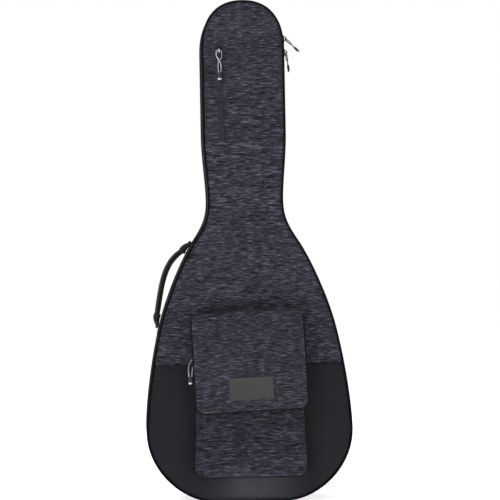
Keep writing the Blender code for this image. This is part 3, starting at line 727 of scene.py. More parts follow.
def drawOutline():
    right = [(Vector(a), Vector(p), Vector(b)) for a, p, b in outlineAnchors]
    mirror = Vector((-1, 1))
    left = [(b * mirror, p * mirror, a * mirror) for a, p, b in reversed(right[1:-1])]
    knots = right + left
    bpy.ops.curve.primitive_bezier_circle_add()
    line = bpy.context.object
    spline = line.data.splines[0]
    spline.bezier_points.add(len(knots) - len(spline.bezier_points))
    for spot, (before, point, after) in zip(spline.bezier_points, knots):
        spot.handle_left_type = spot.handle_right_type = "FREE"
        spot.handle_left = (before.x, 0, before.y)
        spot.co = (point.x, 0, point.y)
        spot.handle_right = (after.x, 0, after.y)
    line.data.dimensions = "3D"
    line.data.resolution_u = 18
    bpy.ops.object.convert(target="MESH")
    return bpy.context.object


outlineGuide = drawOutline()
outlinePoints = [Vector((v.co.x, v.co.z)) for v in outlineGuide.data.vertices]


def insetLoop(points, inset):
    # a closed loop moved inwards, its sides kept parallel
    moved = []
    for i, point in enumerate(points):
        before = (point - points[i - 1]).normalized()
        after = (points[(i + 1) % len(points)] - point).normalized()
        along = (before + after).normalized()
        moved.append(point + Vector((-along.y, along.x)) * (inset / max(0.4, along.dot(after))))
    return moved


def leaned(y, z):
    share = min(1.0, max(0.0, (bag["zipY"] - y) / (bag["zipY"] - bag["frontY"])))
    return y + bag["lidTaper"] * z * share


def leanFront(piece):
    for vertex in piece.data.vertices:
        vertex.co.y = leaned(vertex.co.y, vertex.co.z)


def ringAround(inset, y):
    return [Vector((p.x, leaned(y, p.y), p.y)) for p in insetLoop(outlinePoints, inset)]


def aboveFloor(points, radius):
    # a cord of this radius pressed flat where it would sink into the floor
    return [Vector((p.x, p.y, max(p.z, radius - 0.0006))) for p in points]


def flatOutline(name, inset, y):
    # the bag's outline as one flat face, looking towards the front
    piece = outlineGuide.copy()
    piece.data = outlineGuide.data.copy()
    piece.name = name
    bpy.context.scene.collection.objects.link(piece)
    for vertex, point in zip(piece.data.vertices, insetLoop(outlinePoints, inset)):
        vertex.co = (point.x, y, point.y)
    editMode(piece)
    bpy.ops.mesh.edge_face_add()
    objectMode()
    if piece.data.polygons[0].normal.y > 0:
        piece.data.flip_normals()
    return piece


def raiseFace(piece, steps):
    # grows the chosen face step by step: (inwards, forwards along its normal)
    for inwards, forwards in steps:
        if inwards:
            bpy.ops.mesh.inset(thickness=inwards, depth=forwards)
        else:
            way = -forwards if piece["looksFront"] else forwards
            bpy.ops.mesh.extrude_region_move(TRANSFORM_OT_translate={"value": (0, way, 0)})


def outlineBody(name, inset, y, steps, looksFront=True, mouth=False):
    piece = flatOutline(name, inset, y)
    piece["looksFront"] = looksFront
    if not looksFront:
        piece.data.flip_normals()
    chooseFaces(piece, lambda face: True)
    raiseFace(piece, steps)
    objectMode()
    del piece["looksFront"]
    if mouth:
        opened(piece)
    return piece


def solidWall(piece, thickness, offset=-1.0):
    addModifier(piece, "SOLIDIFY", thickness=thickness, offset=offset, use_even_offset=True)
    applyAll(piece)


def evenSteps(points, spacing, closed=True):
    # points a set distance apart along a line, each with its direction
    line = [*points, points[0]] if closed else list(points)
    total = routeLength(line)
    count = max(1, round(total / spacing))
    step, found, gone, i = total / count, [], 0.0, 0
    for k in range(count if closed else count + 1):
        target = min(k * step, total - 1e-7)
        while gone + (line[i + 1] - line[i]).length < target:
            gone += (line[i + 1] - line[i]).length
            i += 1
        side = line[i + 1] - line[i]
        found.append((line[i] + side * ((target - gone) / side.length), side.normalized()))
    return found


def repeatAt(name, master, places):
    # one mesh with a copy of the master at each place
    verts, faces = [], []
    shape = [v.co.copy() for v in master.data.vertices]
    sides = [tuple(p.vertices) for p in master.data.polygons]
    for place in places:
        start = len(verts)
        verts += [place @ co for co in shape]
        faces += [tuple(start + i for i in side) for side in sides]
    piece = meshPiece(name, verts, faces)
    smoothed(piece, 60)
    return piece


def frameFrom(place, along, across):
    side = (across - along * across.dot(along)).normalized()
    up = side.cross(along)
    return Matrix.Translation(place) @ Matrix((side, along, up)).transposed().to_4x4()


def makeStitch():
    # one stitch, 2.6 mm long, thicker in the middle, lying along Y
    bpy.ops.mesh.primitive_cylinder_add(vertices=6, radius=0.00034, depth=0.0026, rotation=(pi / 2, 0, 0))
    stitch = bpy.context.object
    settle(stitch)
    chooseFaces(stitch, lambda face: abs(face.normal.y) > 0.9)
    bpy.ops.mesh.inset(thickness=0.00014, depth=0.0002)
    objectMode()
    return stitch


def makeTooth():
    # one turn of a zip coil, lying along X across the seam
    bpy.ops.mesh.primitive_cylinder_add(vertices=6, radius=0.00062, depth=0.0022, rotation=(0, pi / 2, 0))
    tooth = bpy.context.object
    settle(tooth)
    chooseFaces(tooth, lambda face: abs(face.normal.x) > 0.9)
    bpy.ops.mesh.inset(thickness=0.00026, depth=0.0003)
    objectMode()
    return tooth


stitchMaster, toothMaster = makeStitch(), makeTooth()


def stitchRow(name, points, body, spacing=0.0042, closed=True):
    places = [frameFrom(p, along, backwards) for p, along in evenSteps(points, spacing, closed)]
    handOver(repeatAt(name, stitchMaster, places), name, body, finishes["stitch"])


zipSliders = {
    # name: how it is turned; the wall leans in a little at the two on the right side
    "main_upper": Matrix.Rotation(-0.1305, 4, "Y") @ quarterTurn,
    "main_lower": Matrix.Rotation(-0.0175, 4, "Y") @ quarterTurn,
    "neck_pocket": leanTurn,
    "pocket": leanTurn @ Matrix.Rotation(pi / 2, 4, "Y"),
}
for sliderName, sliderTurn in zipSliders.items():
    outward = sliderTurn.to_3x3() @ forwards
    foot = pullPlaces[sliderName + "_pull"] - outward * zipSlider["eyeOut"]
    makeSlider(camelName(sliderName), foot, sliderTurn, sliderName + "_slider")
print("zip sliders made")


# Rear shell

rearShell = {"depth": 0.089, "bulge": 0.00072, "wrinkle": 0.0009, "wall": 0.0016}
zipEdge = bag["zipY"] + bag["zipHalf"]
lidEdge = bag["zipY"] - bag["zipHalf"]


def outFrom(co):
    # straight out from the middle line of the bag
    return (co - Vector((0, co.y, min(max(co.z, 0.16), 1.03)))).normalized()


def makeRearShell():
    # the coated side wall: turned edge at the zip, then a slightly rounded wall to the back seam
    steps = [(0, 0.0012), (0, 0.0030), *[(0, 0.0104)] * 8, (0, 0.0016)]
    wall = outlineBody("rearGusset", 0.0004, zipEdge, steps, looksFront=False, mouth=True)
    for vertex in wall.data.vertices:
        fade = sin(pi * min(1, max(0, (vertex.co.y - zipEdge) / rearShell["depth"])))
        out = outFrom(vertex.co)
        vertex.co += out * rearShell["bulge"] * fade
        vertex.co += out * noise.noise(vertex.co * 14.0) * rearShell["wrinkle"] * fade
    solidWall(wall, rearShell["wall"])
    smoothed(wall, 40)
    handOver(wall, "rearGusset", "root", finishes["wall"], ["rear_gusset"])
    stitchRow("rearGussetZipStitch", ringAround(-0.0002, zipEdge + 0.0040), "root")
    stitchRow("rearGussetBackStitch", ringAround(-0.0006, bag["backY"] - 0.0120), "root")
    ring = aboveFloor(ringAround(0.0006, bag["backY"] - 0.0050), 0.0029)
    piping = tubeAlong("rearPiping", ring, 0.0029, closed=True, sides=3)
    handOver(piping, "rearPiping", "root", finishes["piping"])


def softSurface(piece, heights, seed=0.0):
    # slow waves of loose cloth over foam: (size, height) rows, faded at the sewn edge by a weight function
    normals = [vertex.normal.copy() for vertex in piece.data.vertices]
    for size, height, weight in heights:
        for vertex, normal in zip(piece.data.vertices, normals):
            swell = noise.noise(vertex.co / size + Vector((seed, seed, seed)))
            vertex.co += normal * swell * height * weight(vertex.co)


def puffUp(piece, voxel, pressure, cap, sewn):
    # padded cloth: even quads, then air pressure with the sewn parts held, then the swelling limited
    addModifier(piece, "REMESH", mode="VOXEL", voxel_size=voxel, use_smooth_shade=True)
    addModifier(piece, "SMOOTH", iterations=4, factor=0.5)
    applyAll(piece)
    rest = [v.co.copy() for v in piece.data.vertices]
    held = piece.vertex_groups.new(name="sewn")
    held.add([v.index for v in piece.data.vertices if sewn(v.co)], 1.0, "REPLACE")
    cloth = piece.modifiers.new("padding", "CLOTH")
    cloth.settings.quality = 4
    cloth.settings.mass = 0.3
    cloth.settings.use_pressure = True
    cloth.settings.uniform_pressure_force = pressure
    cloth.settings.effector_weights.gravity = 0.0
    cloth.settings.vertex_group_mass = "sewn"
    for frameNumber in range(1, 21):
        bpy.context.scene.frame_set(frameNumber)
    pickOnly(piece)
    bpy.ops.object.modifier_apply(modifier="padding")
    bpy.context.scene.frame_set(1)
    for vertex, start in zip(piece.data.vertices, rest):
        moved = vertex.co - start
        if moved.length > cap:
            vertex.co = start + moved * (cap / moved.length)
    piece.vertex_groups.clear()
    addModifier(piece, "SMOOTH", iterations=3, factor=0.5)
    applyAll(piece)
    print("padded", piece.name, len(piece.data.polygons), "faces")


rimTree = pointTree([(point.x, 0.0, point.y) for point in outlinePoints])


def fromRim(co):
    # how far a point is inside the outline
    return rimTree.find((co.x, 0.0, co.z))[2]


backPanel = {"inset": 0.0030, "puff": 0.0030, "voxel": 0.0052}


def backSewn(co):
    # held at its rim and under the back handle, its tabs and the strap yoke
    handle = abs(co.x) < 0.03 and co.z > 0.86
    yokeArea = 0.62 < co.z < 0.73 and abs(co.x) < 0.09
    return fromRim(co) < 0.013 or co.y < bag["backY"] - 0.007 or handle or yokeArea


def makeBackPanel():
    start = bag["backY"] - 0.0160
    steps = [(0, 0.0120), (0.0035, 0.0020), (0.0060, 0.0008)]
    panel = outlineBody("backPanel", backPanel["inset"], start, steps, looksFront=False)
    puffUp(panel, backPanel["voxel"], 3.0, backPanel["puff"], backSewn)
    softSurface(panel, [(0.09, 0.0012, lambda co: min(1.0, fromRim(co) / 0.03))], 4.0)
    smoothed(panel)
    handOver(panel, "backPanel", "root", finishes["coated"], ["back_panel", "back_foam"])
    stitchRow("backPanelStitch", ringAround(0.0105, bag["backY"] - 0.0006), "root")


makeRearShell()
makeBackPanel()
print("rear shell made")


# Lid: woven above the seam, coated below it, over foam

lidFront = {"inset": 0.0034, "backY": -0.0655, "puff": 0.0030, "voxel": 0.0048, "stitchIn": 0.0085,
            "lap": 0.0022}  # how far each cloth reaches over the cross seam
neckZip = {"x": -0.0515, "middleZ": 0.91, "lean": 0.018, "lowZ": 0.805, "highZ": 1.020, "lip": 0.0040}


def neckZipX(z):
    return neckZip["x"] - neckZip["lean"] * (z - neckZip["middleZ"])


def lidSewn(co):
    # where the lid's cloth is stitched down: its rim, the cross seam, the neck zip and the pocket's foot
    nearZip = abs(co.x - neckZipX(co.z)) < 0.014 and neckZip["lowZ"] - 0.01 < co.z < neckZip["highZ"] + 0.01
    nearSeam = abs(co.z - bag["seamZ"]) < 0.007
    nearFoot = abs(co.x) < 0.135 and co.z < 0.43
    return fromRim(co) < 0.012 or co.y > -0.072 or nearZip or nearSeam or nearFoot


def makeLidGusset():
    steps = [(0, 0.0012), (0, 0.0030), *[(0, 0.0078)] * 5, (0.0006, 0.0050), (0.0016, 0.0042)]
    wall = outlineBody("lidGusset", 0.0004, lidEdge, steps, mouth=True)
    for vertex in wall.data.vertices:
        fade = sin(pi * min(1, max(0, (lidEdge - vertex.co.y) / 0.052)))
        vertex.co += outFrom(vertex.co) * (0.0006 + 0.0007 * noise.noise(vertex.co * 15.0)) * fade
    solidWall(wall, 0.0016)
    leanFront(wall)
    smoothed(wall, 40)
    handOver(wall, "lidGusset", "lid", finishes["wall"], ["lid_gusset"])
    stitchRow("lidGussetZipStitch", ringAround(-0.0002, lidEdge - 0.0040), "lid")
    ring = aboveFloor(ringAround(0.0016, bag["frontY"] + 0.0035), 0.0018)
    piping = tubeAlong("lidPiping", ring, 0.0018, closed=True, sides=3)
    handOver(piping, "lidPiping", "lid", finishes["lidPiping"])


def lidLoose(co):
    # how far the soft waves reach: none where it is sewn, all of them 40 mm in from the rim
    return 0.0 if lidSewn(co) else min(1.0, fromRim(co) / 0.04)


def makeLidFront():
    steps = [(0, 0.0118), (0.0028, 0.0014), (0.0060, 0.0010)]
    for name, node, finish, slot, keepAbove in (
        ("lidFrontUpper", "lid_panel_upper", "melange", "melange_fabric", True),
        ("lidFrontLower", "lid_panel_lower", "coated", "coated_fabric", False),
    ):
        front = outlineBody(name, lidFront["inset"], lidFront["backY"], steps)
        editMode(front)
        edge = bag["seamZ"] + (-lidFront["lap"] if keepAbove else lidFront["lap"])
        bpy.ops.mesh.bisect(plane_co=(0, 0, edge), plane_no=(0, 0, 1), use_fill=True,
                            clear_inner=keepAbove, clear_outer=not keepAbove)
        objectMode()
        puffUp(front, lidFront["voxel"], 3.0, lidFront["puff"], lidSewn)
        softSurface(front, [(0.085, 0.0010, lidLoose)], 9.0)
        leanFront(front)
        smoothed(front)
        nodes = [node, "lid_foam", "neck_pocket_pouch"] if keepAbove else [node]
        handOver(front, name, "lid", finishes[finish], nodes)
    row = [p + Vector((0, -0.0004, 0)) for p in ringAround(lidFront["stitchIn"], bag["frontY"] + 0.0005)]
    stitchRow("lidFrontStitch", row, "lid")
    z = bag["seamZ"] + 0.0045
    half = 0.205
    seam = [Vector((x * half / 40, frontAt(z) - 0.0002, z)) for x in range(-40, 41)]
    stitchRow("lidSeamStitch", seam, "lid", closed=False)


makeLidGusset()
makeLidFront()
print("lid made")


# Main zip: tapes and coil on both shells, and the cloth hinge where they stop

mainZip = {"outer": 0.0006, "inner": 0.0022, "pitch": 0.0021}


def zipPath(inset, y):
    # round the bag from the top of the hinge over the crown and down to its foot on the right
    ring = insetLoop(outlinePoints, inset)
    count = len(ring)
    hinge = [i for i, p in enumerate(outlinePoints) if p.x < 0 and bag["hingeLowZ"] < p.y < bag["hingeHighZ"]]
    first = hinge[-1] + 1
    around = [ring[i % count] for i in range(first, first + count - len(hinge))]
    return [Vector((p.x, y, p.y)) for p in around]


def zipTape(name, near, far, body, node):
    # a thin woven strip standing edge on to the wall
    line = [zipPath(mainZip["outer"], near), zipPath(mainZip["outer"], far)]
    verts = [p for rail in line for p in rail]
    count = len(line[0])
    faces = [(i, i + 1, count + i + 1, count + i) for i in range(count - 1)]
    tape = meshPiece(name, verts, faces)
    mesh = tape.data
    layer = mesh.uv_layers.new(name="UVMap")
    travelled = distancesAlong(line[0])
    for loop in mesh.loops:
        across, along = divmod(loop.vertex_index, count)
        layer.data[loop.index].uv = (across * abs(far - near), travelled[along])
    middle = mesh.polygons[count // 2]
    if middle.normal.dot(Vector((middle.center.x, 0, middle.center.z - 0.5))) < 0:
        mesh.flip_normals()
    solidWall(tape, mainZip["inner"] - mainZip["outer"])
    smoothed(tape, 40)
    return handOver(tape, name, body, finishes["zipTape"], [node])


def makeMainZip():
    edge = bag["zipHalf"] - 0.0004
    for side, way, body, node in (("lid", -1, "lid", "lid_zip_tape"), ("rear", 1, "root", "rear_zip_tape")):
        near, far = bag["zipY"] + way * edge, bag["zipY"] + way * 0.0014
        zipTape(side + "ZipTape", near, far, body, node)
        line = zipPath(0.0010, bag["zipY"] + way * 0.0010)
        shift = 0.5 * mainZip["pitch"] * (way > 0)  # the two coils mesh half a tooth apart
        places = [frameFrom(p + along * shift, along, backwards)
                  for p, along in evenSteps(line, mainZip["pitch"], closed=False)]
        teeth = repeatAt(side + "ZipTeeth", toothMaster, places)
        handOver(teeth, side + "ZipTeeth", body, finishes["zipTeeth"])


def makeHinge():
    # from the back shell's wall round to the lid's, bulging out a little between them
    low, high = bag["hingeLowZ"] + 0.004, bag["hingeHighZ"] - 0.002
    side = [p for p in outlinePoints if p.x < 0 and low - 0.02 < p.y < high + 0.02]
    columns = [bag["zipY"] + (k / 8 - 0.5) * 2 * (bag["zipHalf"] + 0.0006) for k in range(9)]
    verts = []
    for y in columns:
        out = 0.0010 * cos((y - bag["zipY"]) / bag["zipHalf"] * pi / 2)
        verts += [Vector((p.x + 0.0012 - out, y, p.y)) for p in side]
    count = len(side)
    faces = [(c * count + i, c * count + i + 1, (c + 1) * count + i + 1, (c + 1) * count + i)
             for c in range(8) for i in range(count - 1)]
    hinge = meshPiece("hingeCloth", verts, faces)
    if hinge.data.polygons[len(faces) // 2].normal.x > 0:
        hinge.data.flip_normals()
    solidWall(hinge, 0.0012)
    smoothed(hinge, 40)
    hinge.data.materials.append(finishes["coated"])
    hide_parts("hinge_panel")
    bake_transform(hinge)


makeMainZip()
makeHinge()
print("main zip made")


# Neck pocket: a zip with two coated lips that meet at a groove

def makeNeckZip():
    low, high, lip = neckZip["lowZ"], neckZip["highZ"], neckZip["lip"]
    for side, way in (("Left", -1), ("Right", 1)):
        bpy.ops.mesh.primitive_cube_add(size=1.0)
        strip = bpy.context.object
        reshaped(strip, lambda x, y, z: (way * (lip / 2 + 0.0003) + x * lip, -0.0009 + y * 0.0014,
                                         (low + high) / 2 + z * (high - low)))
        chooseFaces(strip, lambda face: abs(face.normal.z) < 0.5)
        bpy.ops.mesh.subdivide_edgering(number_cuts=24, interpolation="LINEAR")
        objectMode()
        bevelled(strip, 0.0005, 3, 60)
        applyAll(strip)
        for vertex in strip.data.vertices:
            vertex.co.x += neckZipX(vertex.co.z)
            vertex.co.y += frontAt(vertex.co.z)
        smoothed(strip, 40)
        nodes = ["neck_pocket_zip_tape"] if way < 0 else []
        handOver(strip, "neckZipLip" + side, "lid", finishes["zipLip"], nodes)
        line = [Vector((neckZipX(z) + way * (lip + 0.0018), frontAt(z) - 0.0002, z))
                for z in (low, (low + high) / 2, high)]
        stitchRow("neckZipStitch" + side, line, "lid", spacing=0.0036, closed=False)
    for end, z in (("Top", high - 0.0012), ("Foot", low + 0.0012)):
        spots = [Vector((neckZipX(z) + 0.0011 * k, frontAt(z) - 0.0018, z)) for k in range(-5, 6)]
        tack = repeatAt("neckZipTack" + end, stitchMaster, [frameFrom(p, upwards, Vector((1, 0, 0))) for p in spots])
        handOver(tack, "neckZipTack" + end, "lid", finishes["stitch"])


makeNeckZip()


# Front pocket: shapes are drawn on a flat front, then set on the sloping lid

pocket = {"lowZ": 0.061, "topZ": 0.422, "halfLow": 0.126, "halfTop": 0.110, "depth": 0.038, "splay": 0.004,
          "zipZ": 0.318, "zipHalf": 0.008, "radiusLow": 0.022, "radiusTop": 0.020, "puff": 0.0065,
          "voxel": 0.0036}
flap = {"lowZ": 0.207, "topZ": 0.427, "half": 0.1245, "radiusLow": 0.018, "radiusTop": 0.016, "near": 0.0527,
        "x": -0.0045, "tilt": radians(2.4), "puff": 0.0045, "voxel": 0.0034}
label = {"z": 0.257, "halfWide": 0.049, "halfHigh": 0.025, "radius": 0.003, "out": 0.0592}


def roundedPlate(name, halfLow, halfTop, low, top, radiusLow, radiusTop, out):
    # a flat face with rounded corners, looking to the front at this distance from the lid
    bpy.ops.mesh.primitive_plane_add(size=2.0, rotation=(pi / 2, 0, 0))
    plate = bpy.context.object
    plate.name = name
    settle(plate)
    reshaped(plate, lambda x, y, z: (x * (halfTop if z > 0 else halfLow), -out, top if z > 0 else low))
    for upper, radius in ((False, radiusLow), (True, radiusTop)):
        editMode(plate, "DESELECT")
        bpy.ops.mesh.select_mode(type="VERT")
        work = bmesh.from_edit_mesh(plate.data)
        for vertex in work.verts:
            vertex.select_set(abs(vertex.co.z - (top if upper else low)) < 1e-6)
        bmesh.update_edit_mesh(plate.data)
        bpy.ops.mesh.bevel(offset=radius, segments=8, affect="VERTICES", clamp_overlap=True)
        objectMode()
    if plate.data.polygons[0].normal.y > 0:
        plate.data.flip_normals()
    plate["looksFront"] = True
    return plate


def plateBody(name, halfLow, halfTop, low, top, radiusLow, radiusTop, out, steps):
    plate = roundedPlate(name, halfLow, halfTop, low, top, radiusLow, radiusTop, out)
    chooseFaces(plate, lambda face: True)
    raiseFace(plate, steps)
    objectMode()
    del plate["looksFront"]
    return plate


def rimOf(plate):
    # the plate's border as a closed loop of points
    verts = [v.co.copy() for v in plate.data.vertices]
    return [verts[i] for i in plate.data.polygons[0].vertices]


def borderDistance(loop):
    tree = pointTree([(point.x, 0.0, point.z) for point, along in evenSteps(loop, 0.003)])
    return lambda co: tree.find((co.x, 0.0, co.z))[2]


def insetRing(loop, inset, out):
    flat = insetLoop([Vector((p.x, p.z)) for p in loop], inset)
    return [Vector((p.x, -out, p.y)) for p in flat]


def onLid(piece):
    for vertex in piece.data.vertices:
        vertex.co.y += frontAt(vertex.co.z)


def onLidLine(points):
    return [Vector((p.x, p.y + frontAt(p.z), p.z)) for p in points]


def askew(co):
    # the flap hangs a little turned about the middle of its top edge
    middle = Vector((0, 0, flap["topZ"]))
    return middle + Vector((flap["x"], 0, 0)) + Matrix.Rotation(-flap["tilt"], 3, "Y") @ (co - middle)


def pocketSize(grow=0.0):
    return (pocket["halfLow"] + grow, pocket["halfTop"] + grow, pocket["lowZ"] - grow, pocket["topZ"] + grow,
            pocket["radiusLow"] + grow, pocket["radiusTop"] + grow)


def makePocket():
    depth, splay = pocket["depth"], pocket["splay"]
    steps = [(0, 0.0020), *[(splay / 5, (depth - 0.0025) / 5)] * 5]
    gusset = plateBody("pocketGusset", *pocketSize(splay), 0.0004, steps)
    opened(gusset)
    for vertex in gusset.data.vertices:
        share = sin(pi * min(1.0, -vertex.co.y / depth))
        out = Vector((vertex.co.x, 0, vertex.co.z - 0.24)).normalized()
        vertex.co -= out * share * (0.0016 + 0.0014 * noise.noise(vertex.co * 22.0))
    solidWall(gusset, 0.0014)
    onLid(gusset)
    smoothed(gusset, 45)
    handOver(gusset, "pocketGusset", "lid", finishes["coated"], ["pocket_gusset"])

    plate = roundedPlate("pocketRim", *pocketSize(), depth)
    rim = rimOf(plate)
    bpy.data.objects.remove(plate)
    inFrom = borderDistance(rim)
    zipLow, zipHigh = pocket["zipZ"] - pocket["zipHalf"], pocket["zipZ"] + pocket["zipHalf"]
    for name, node, edge, keepBelow in (("pocketFaceLower", "pocket_face_lower", zipLow, True),
                                        ("pocketFaceUpper", "pocket_face_upper", zipHigh, False)):
        face = plateBody(name, *pocketSize(), 0.0320, [(0, 0.0072), (0.0022, 0.0016), (0.0050, 0.0006)])
        editMode(face)
        bpy.ops.mesh.bisect(plane_co=(0, 0, edge), plane_no=(0, 0, 1), use_fill=True,
                            clear_inner=not keepBelow, clear_outer=keepBelow)
        objectMode()
        puffUp(face, pocket["voxel"], 5.0, pocket["puff"] if keepBelow else 0.002,
               lambda co: inFrom(co) < 0.0065 or co.y > -0.036 or abs(co.z - edge) < 0.008)
        loose = lambda co: min(1.0, inFrom(co) / 0.02) * min(1.0, abs(co.z - edge) / 0.02)
        softSurface(face, [(0.06, 0.0016, loose), (0.022, 0.0005, loose)], 2.0)
        onLid(face)
        smoothed(face)
        handOver(face, name, "lid", finishes["pocketMelangePaintedShadeCopy"], [node])
    # a black tube round the foot of the pocket's face: a painted shadow, the dark line where the pocket's edge shades
    # the lid
    piping = tubeAlong("pocketPaintedShadowPiping", onLidLine(insetRing(rim, -0.0012, 0.0325)), 0.0024, closed=True)
    handOver(piping, "pocketPaintedShadowPiping", "lid", finishes["piping"])
    stitchRow("pocketEdgeStitch", onLidLine(insetRing(rim, 0.0050, 0.0412)), "lid")
    stitchRow("pocketFootStitch", onLidLine(insetRing(rim, -splay - 0.0022, 0.0006)), "lid")

    makePocketZip()


def makePocketZip():
    half, z = pocket["halfTop"] + 0.003, pocket["zipZ"]
    for end, way in (("Lower", -1), ("Upper", 1)):
        near, far = z + way * 0.0013, z + way * (pocket["zipHalf"] + 0.002)
        line, row = ([Vector((x, frontAt(z) - out, height)) for x in (-half, 0, half)]
                     for out, height in ((0.0392, (near + far) / 2), (0.0398, z + way * 0.0009)))
        tape = strapAlong("pocketZipTape" + end, line, abs(far - near) / 2, 0.0012, forwards)
        handOver(tape, "pocketZipTape" + end, "lid", finishes["zipTape"],
                 ["pocket_zip_tape"] if way < 0 else [])
        places = [frameFrom(p, along, upwards) for p, along in evenSteps(row, 0.0018, closed=False)]
        teeth = repeatAt("pocketZipTeeth" + end, toothMaster, places)
        handOver(teeth, "pocketZipTeeth" + end, "lid", finishes["zipTeeth"])


def strapAlong(name, points, halfWidth, thickness, facing):
    # a flat strap laid along points, looking towards facing, with its own UV map in metres
    count = len(points) - 1
    widths = halfWidth if isinstance(halfWidth, (list, tuple)) else [halfWidth] * (count + 1)
    bpy.ops.mesh.primitive_grid_add(x_subdivisions=6, y_subdivisions=max(count, 1), size=2.0)
    strap = bpy.context.object
    travelled = distancesAlong(points)
    rows = [round((v.co.y + 1) / 2 * count) for v in strap.data.vertices]
    across = [v.co.x for v in strap.data.vertices]
    layer = strap.data.uv_layers[0]
    for loop in strap.data.loops:
        row = rows[loop.vertex_index]
        layer.data[loop.index].uv = (across[loop.vertex_index] * widths[row] + 0.05, travelled[row])
    for vertex, row, share in zip(strap.data.vertices, rows, across):
        along = (points[min(row + 1, count)] - points[max(row - 1, 0)]).normalized()
        side = along.cross(facing).normalized()
        vertex.co = points[row] + side * (share * widths[row])
    if strap.data.polygons[len(strap.data.polygons) // 2].normal.dot(facing) < 0:
        strap.data.flip_normals()
    addModifier(strap, "SOLIDIFY", thickness=thickness, offset=0.0, use_even_offset=True)
    bevelled(strap, 0.35 * thickness, 2, 60)
    applyAll(strap)
    smoothed(strap, 40)
    strap.name = name
    return strap


def makeFlap():
    tall = flap["near"]
    size = [flap[key] for key in ("half", "half", "lowZ", "topZ", "radiusLow", "radiusTop")]
    plate = roundedPlate("flapRim", *size, tall)
    rim = rimOf(plate)
    bpy.data.objects.remove(plate)
    inFrom = borderDistance(rim)

    def sewn(co):
        onLabel = abs(co.x) < label["halfWide"] + 0.004 and abs(co.z - label["z"]) < label["halfHigh"] + 0.004
        return inFrom(co) < 0.006 or co.y > -tall - 0.0008 or onLabel

    cover = plateBody("pocketFlap", *size, tall, [(0, 0.0034), (0.0026, 0.0020), (0.0060, 0.0009)])
    puffUp(cover, flap["voxel"], 4.0, flap["puff"], sewn)
    softSurface(cover, [(0.07, 0.0014, lambda co: 0.0 if sewn(co) else min(1.0, inFrom(co) / 0.03))], 6.0)
    for vertex in cover.data.vertices:
        over = max(0.0, vertex.co.z - (flap["topZ"] - 0.022)) / 0.022
        vertex.co.y += 0.0060 * over * over
        vertex.co = askew(vertex.co)
    onLid(cover)
    smoothed(cover)
    handOver(cover, "pocketFlap", "pocket_flap", finishes["flapMelangePaintedShade"], ["pocket_flap"])
    # a black piping round the flap's sides and foot, just behind its edge: a binding, and also a painted shadow line
    # under the flap
    border = [askew(p) for p in insetRing(rim, -0.0002, tall + 0.0009) if p.z < flap["topZ"] - 0.010]
    piping = tubeAlong("flapPipingAndPaintedShadow", onLidLine(orderedOpen(border)), 0.0017, sides=3)
    handOver(piping, "flapPipingAndPaintedShadow", "pocket_flap", finishes["piping"])
    row = [askew(p) for p in insetRing(rim, 0.0065, tall + 0.0060) if p.z < flap["topZ"] - 0.02]
    stitchRow("flapStitch", onLidLine(orderedOpen(row)), "pocket_flap", closed=False)

    makeLabel()


def makeLabel():
    wide, z, high, radius = (label[key] for key in ("halfWide", "z", "halfHigh", "radius"))
    patch = plateBody("labelPatch", wide, wide, z - high, z + high, radius, radius, label["out"],
                      [(0, 0.0014), (0.0004, 0.0003), (0.0012, 0), (0.0004, -0.0005)])
    bevelled(patch, 0.0002, 2, 35)
    applyAll(patch)
    for vertex in patch.data.vertices:
        vertex.co = askew(vertex.co)
    onLid(patch)
    smoothed(patch, 40)
    handOver(patch, "labelPatch", "pocket_flap", finishes["label"], ["label_patch"])


def orderedOpen(points):
    # a loop with a gap, started just past the gap
    widest = max(range(len(points)), key=lambda i: (points[i] - points[i - 1]).length)
    return points[widest:] + points[:widest]


def makeFlapHem():
    # the cloth that joins the flap's top to the lid, over the pocket
    half, rows = 0.1120, 14
    bpy.ops.mesh.primitive_grid_add(x_subdivisions=40, y_subdivisions=rows, size=2.0)
    hem = bpy.context.object
    for vertex in hem.data.vertices:
        across, share = vertex.co.x, (vertex.co.y + 1) / 2
        out = 0.0006 + 0.0535 * share
        z = pocket["topZ"] + 0.0062 - 0.0042 * share + 0.0016 * sin(pi * share)
        vertex.co = askew(Vector((across * half * (1 + 0.03 * share), -out, z)))
        vertex.co.z -= abs(across) ** 6 * 0.006
    solidWall(hem, 0.0022, offset=0.0)
    onLid(hem)
    facingOut(hem)
    smoothed(hem, 50)
    hem.name = "flapHem"
    hem.data.materials.append(finishes["melange"])
    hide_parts("flap_binding")
    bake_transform(hem)


makePocket()
makeFlap()
makeFlapHem()
print("pocket and flap made")


# Handles: a webbing grip rolled round a core, held at each end by a gathered tab

handleShape = (  # how far up the handle, how much of its rise
    (0.0, 0.0), (0.10, 0.22), (0.25, 0.52), (0.45, 0.86), (0.64, 1.0), (0.80, 0.84), (0.93, 0.40), (1.0, 0.0),
)
handles = {
    "side": {"lowZ": 0.410, "topZ": 0.556, "y": 0.028, "rise": 0.018, "tabHalf": 0.0120},
    "back": {"lowZ": 0.890, "topZ": 1.020, "y": bag["backY"], "rise": 0.024, "tabHalf": 0.0125},
}
grip = {"radius": 0.0066, "lift": 0.012}


def wallX(z):
    # half the bag's width at a height
    right = [p for p in outlinePoints if p.x > 0.05]
    below = max((p for p in right if p.y <= z), key=lambda p: p.y)
    above = min((p for p in right if p.y > z), key=lambda p: p.y)
    return below.x + (above.x - below.x) * (z - below.y) / (above.y - below.y)


def boxStitch(name, corners, body):
    # stitches round a patch and corner to corner across it
    a, b, c, d = corners
    rows = evenSteps([a, b, c, d], 0.0036)
    for diagonal in ([a, c], [b, d]):
        rows += evenSteps(diagonal, 0.0036, closed=False)
    out = (b - a).cross(d - a).normalized()
    row = repeatAt(name, stitchMaster, [frameFrom(p, along, out) for p, along in rows])
    handOver(row, name, body, finishes["stitch"])


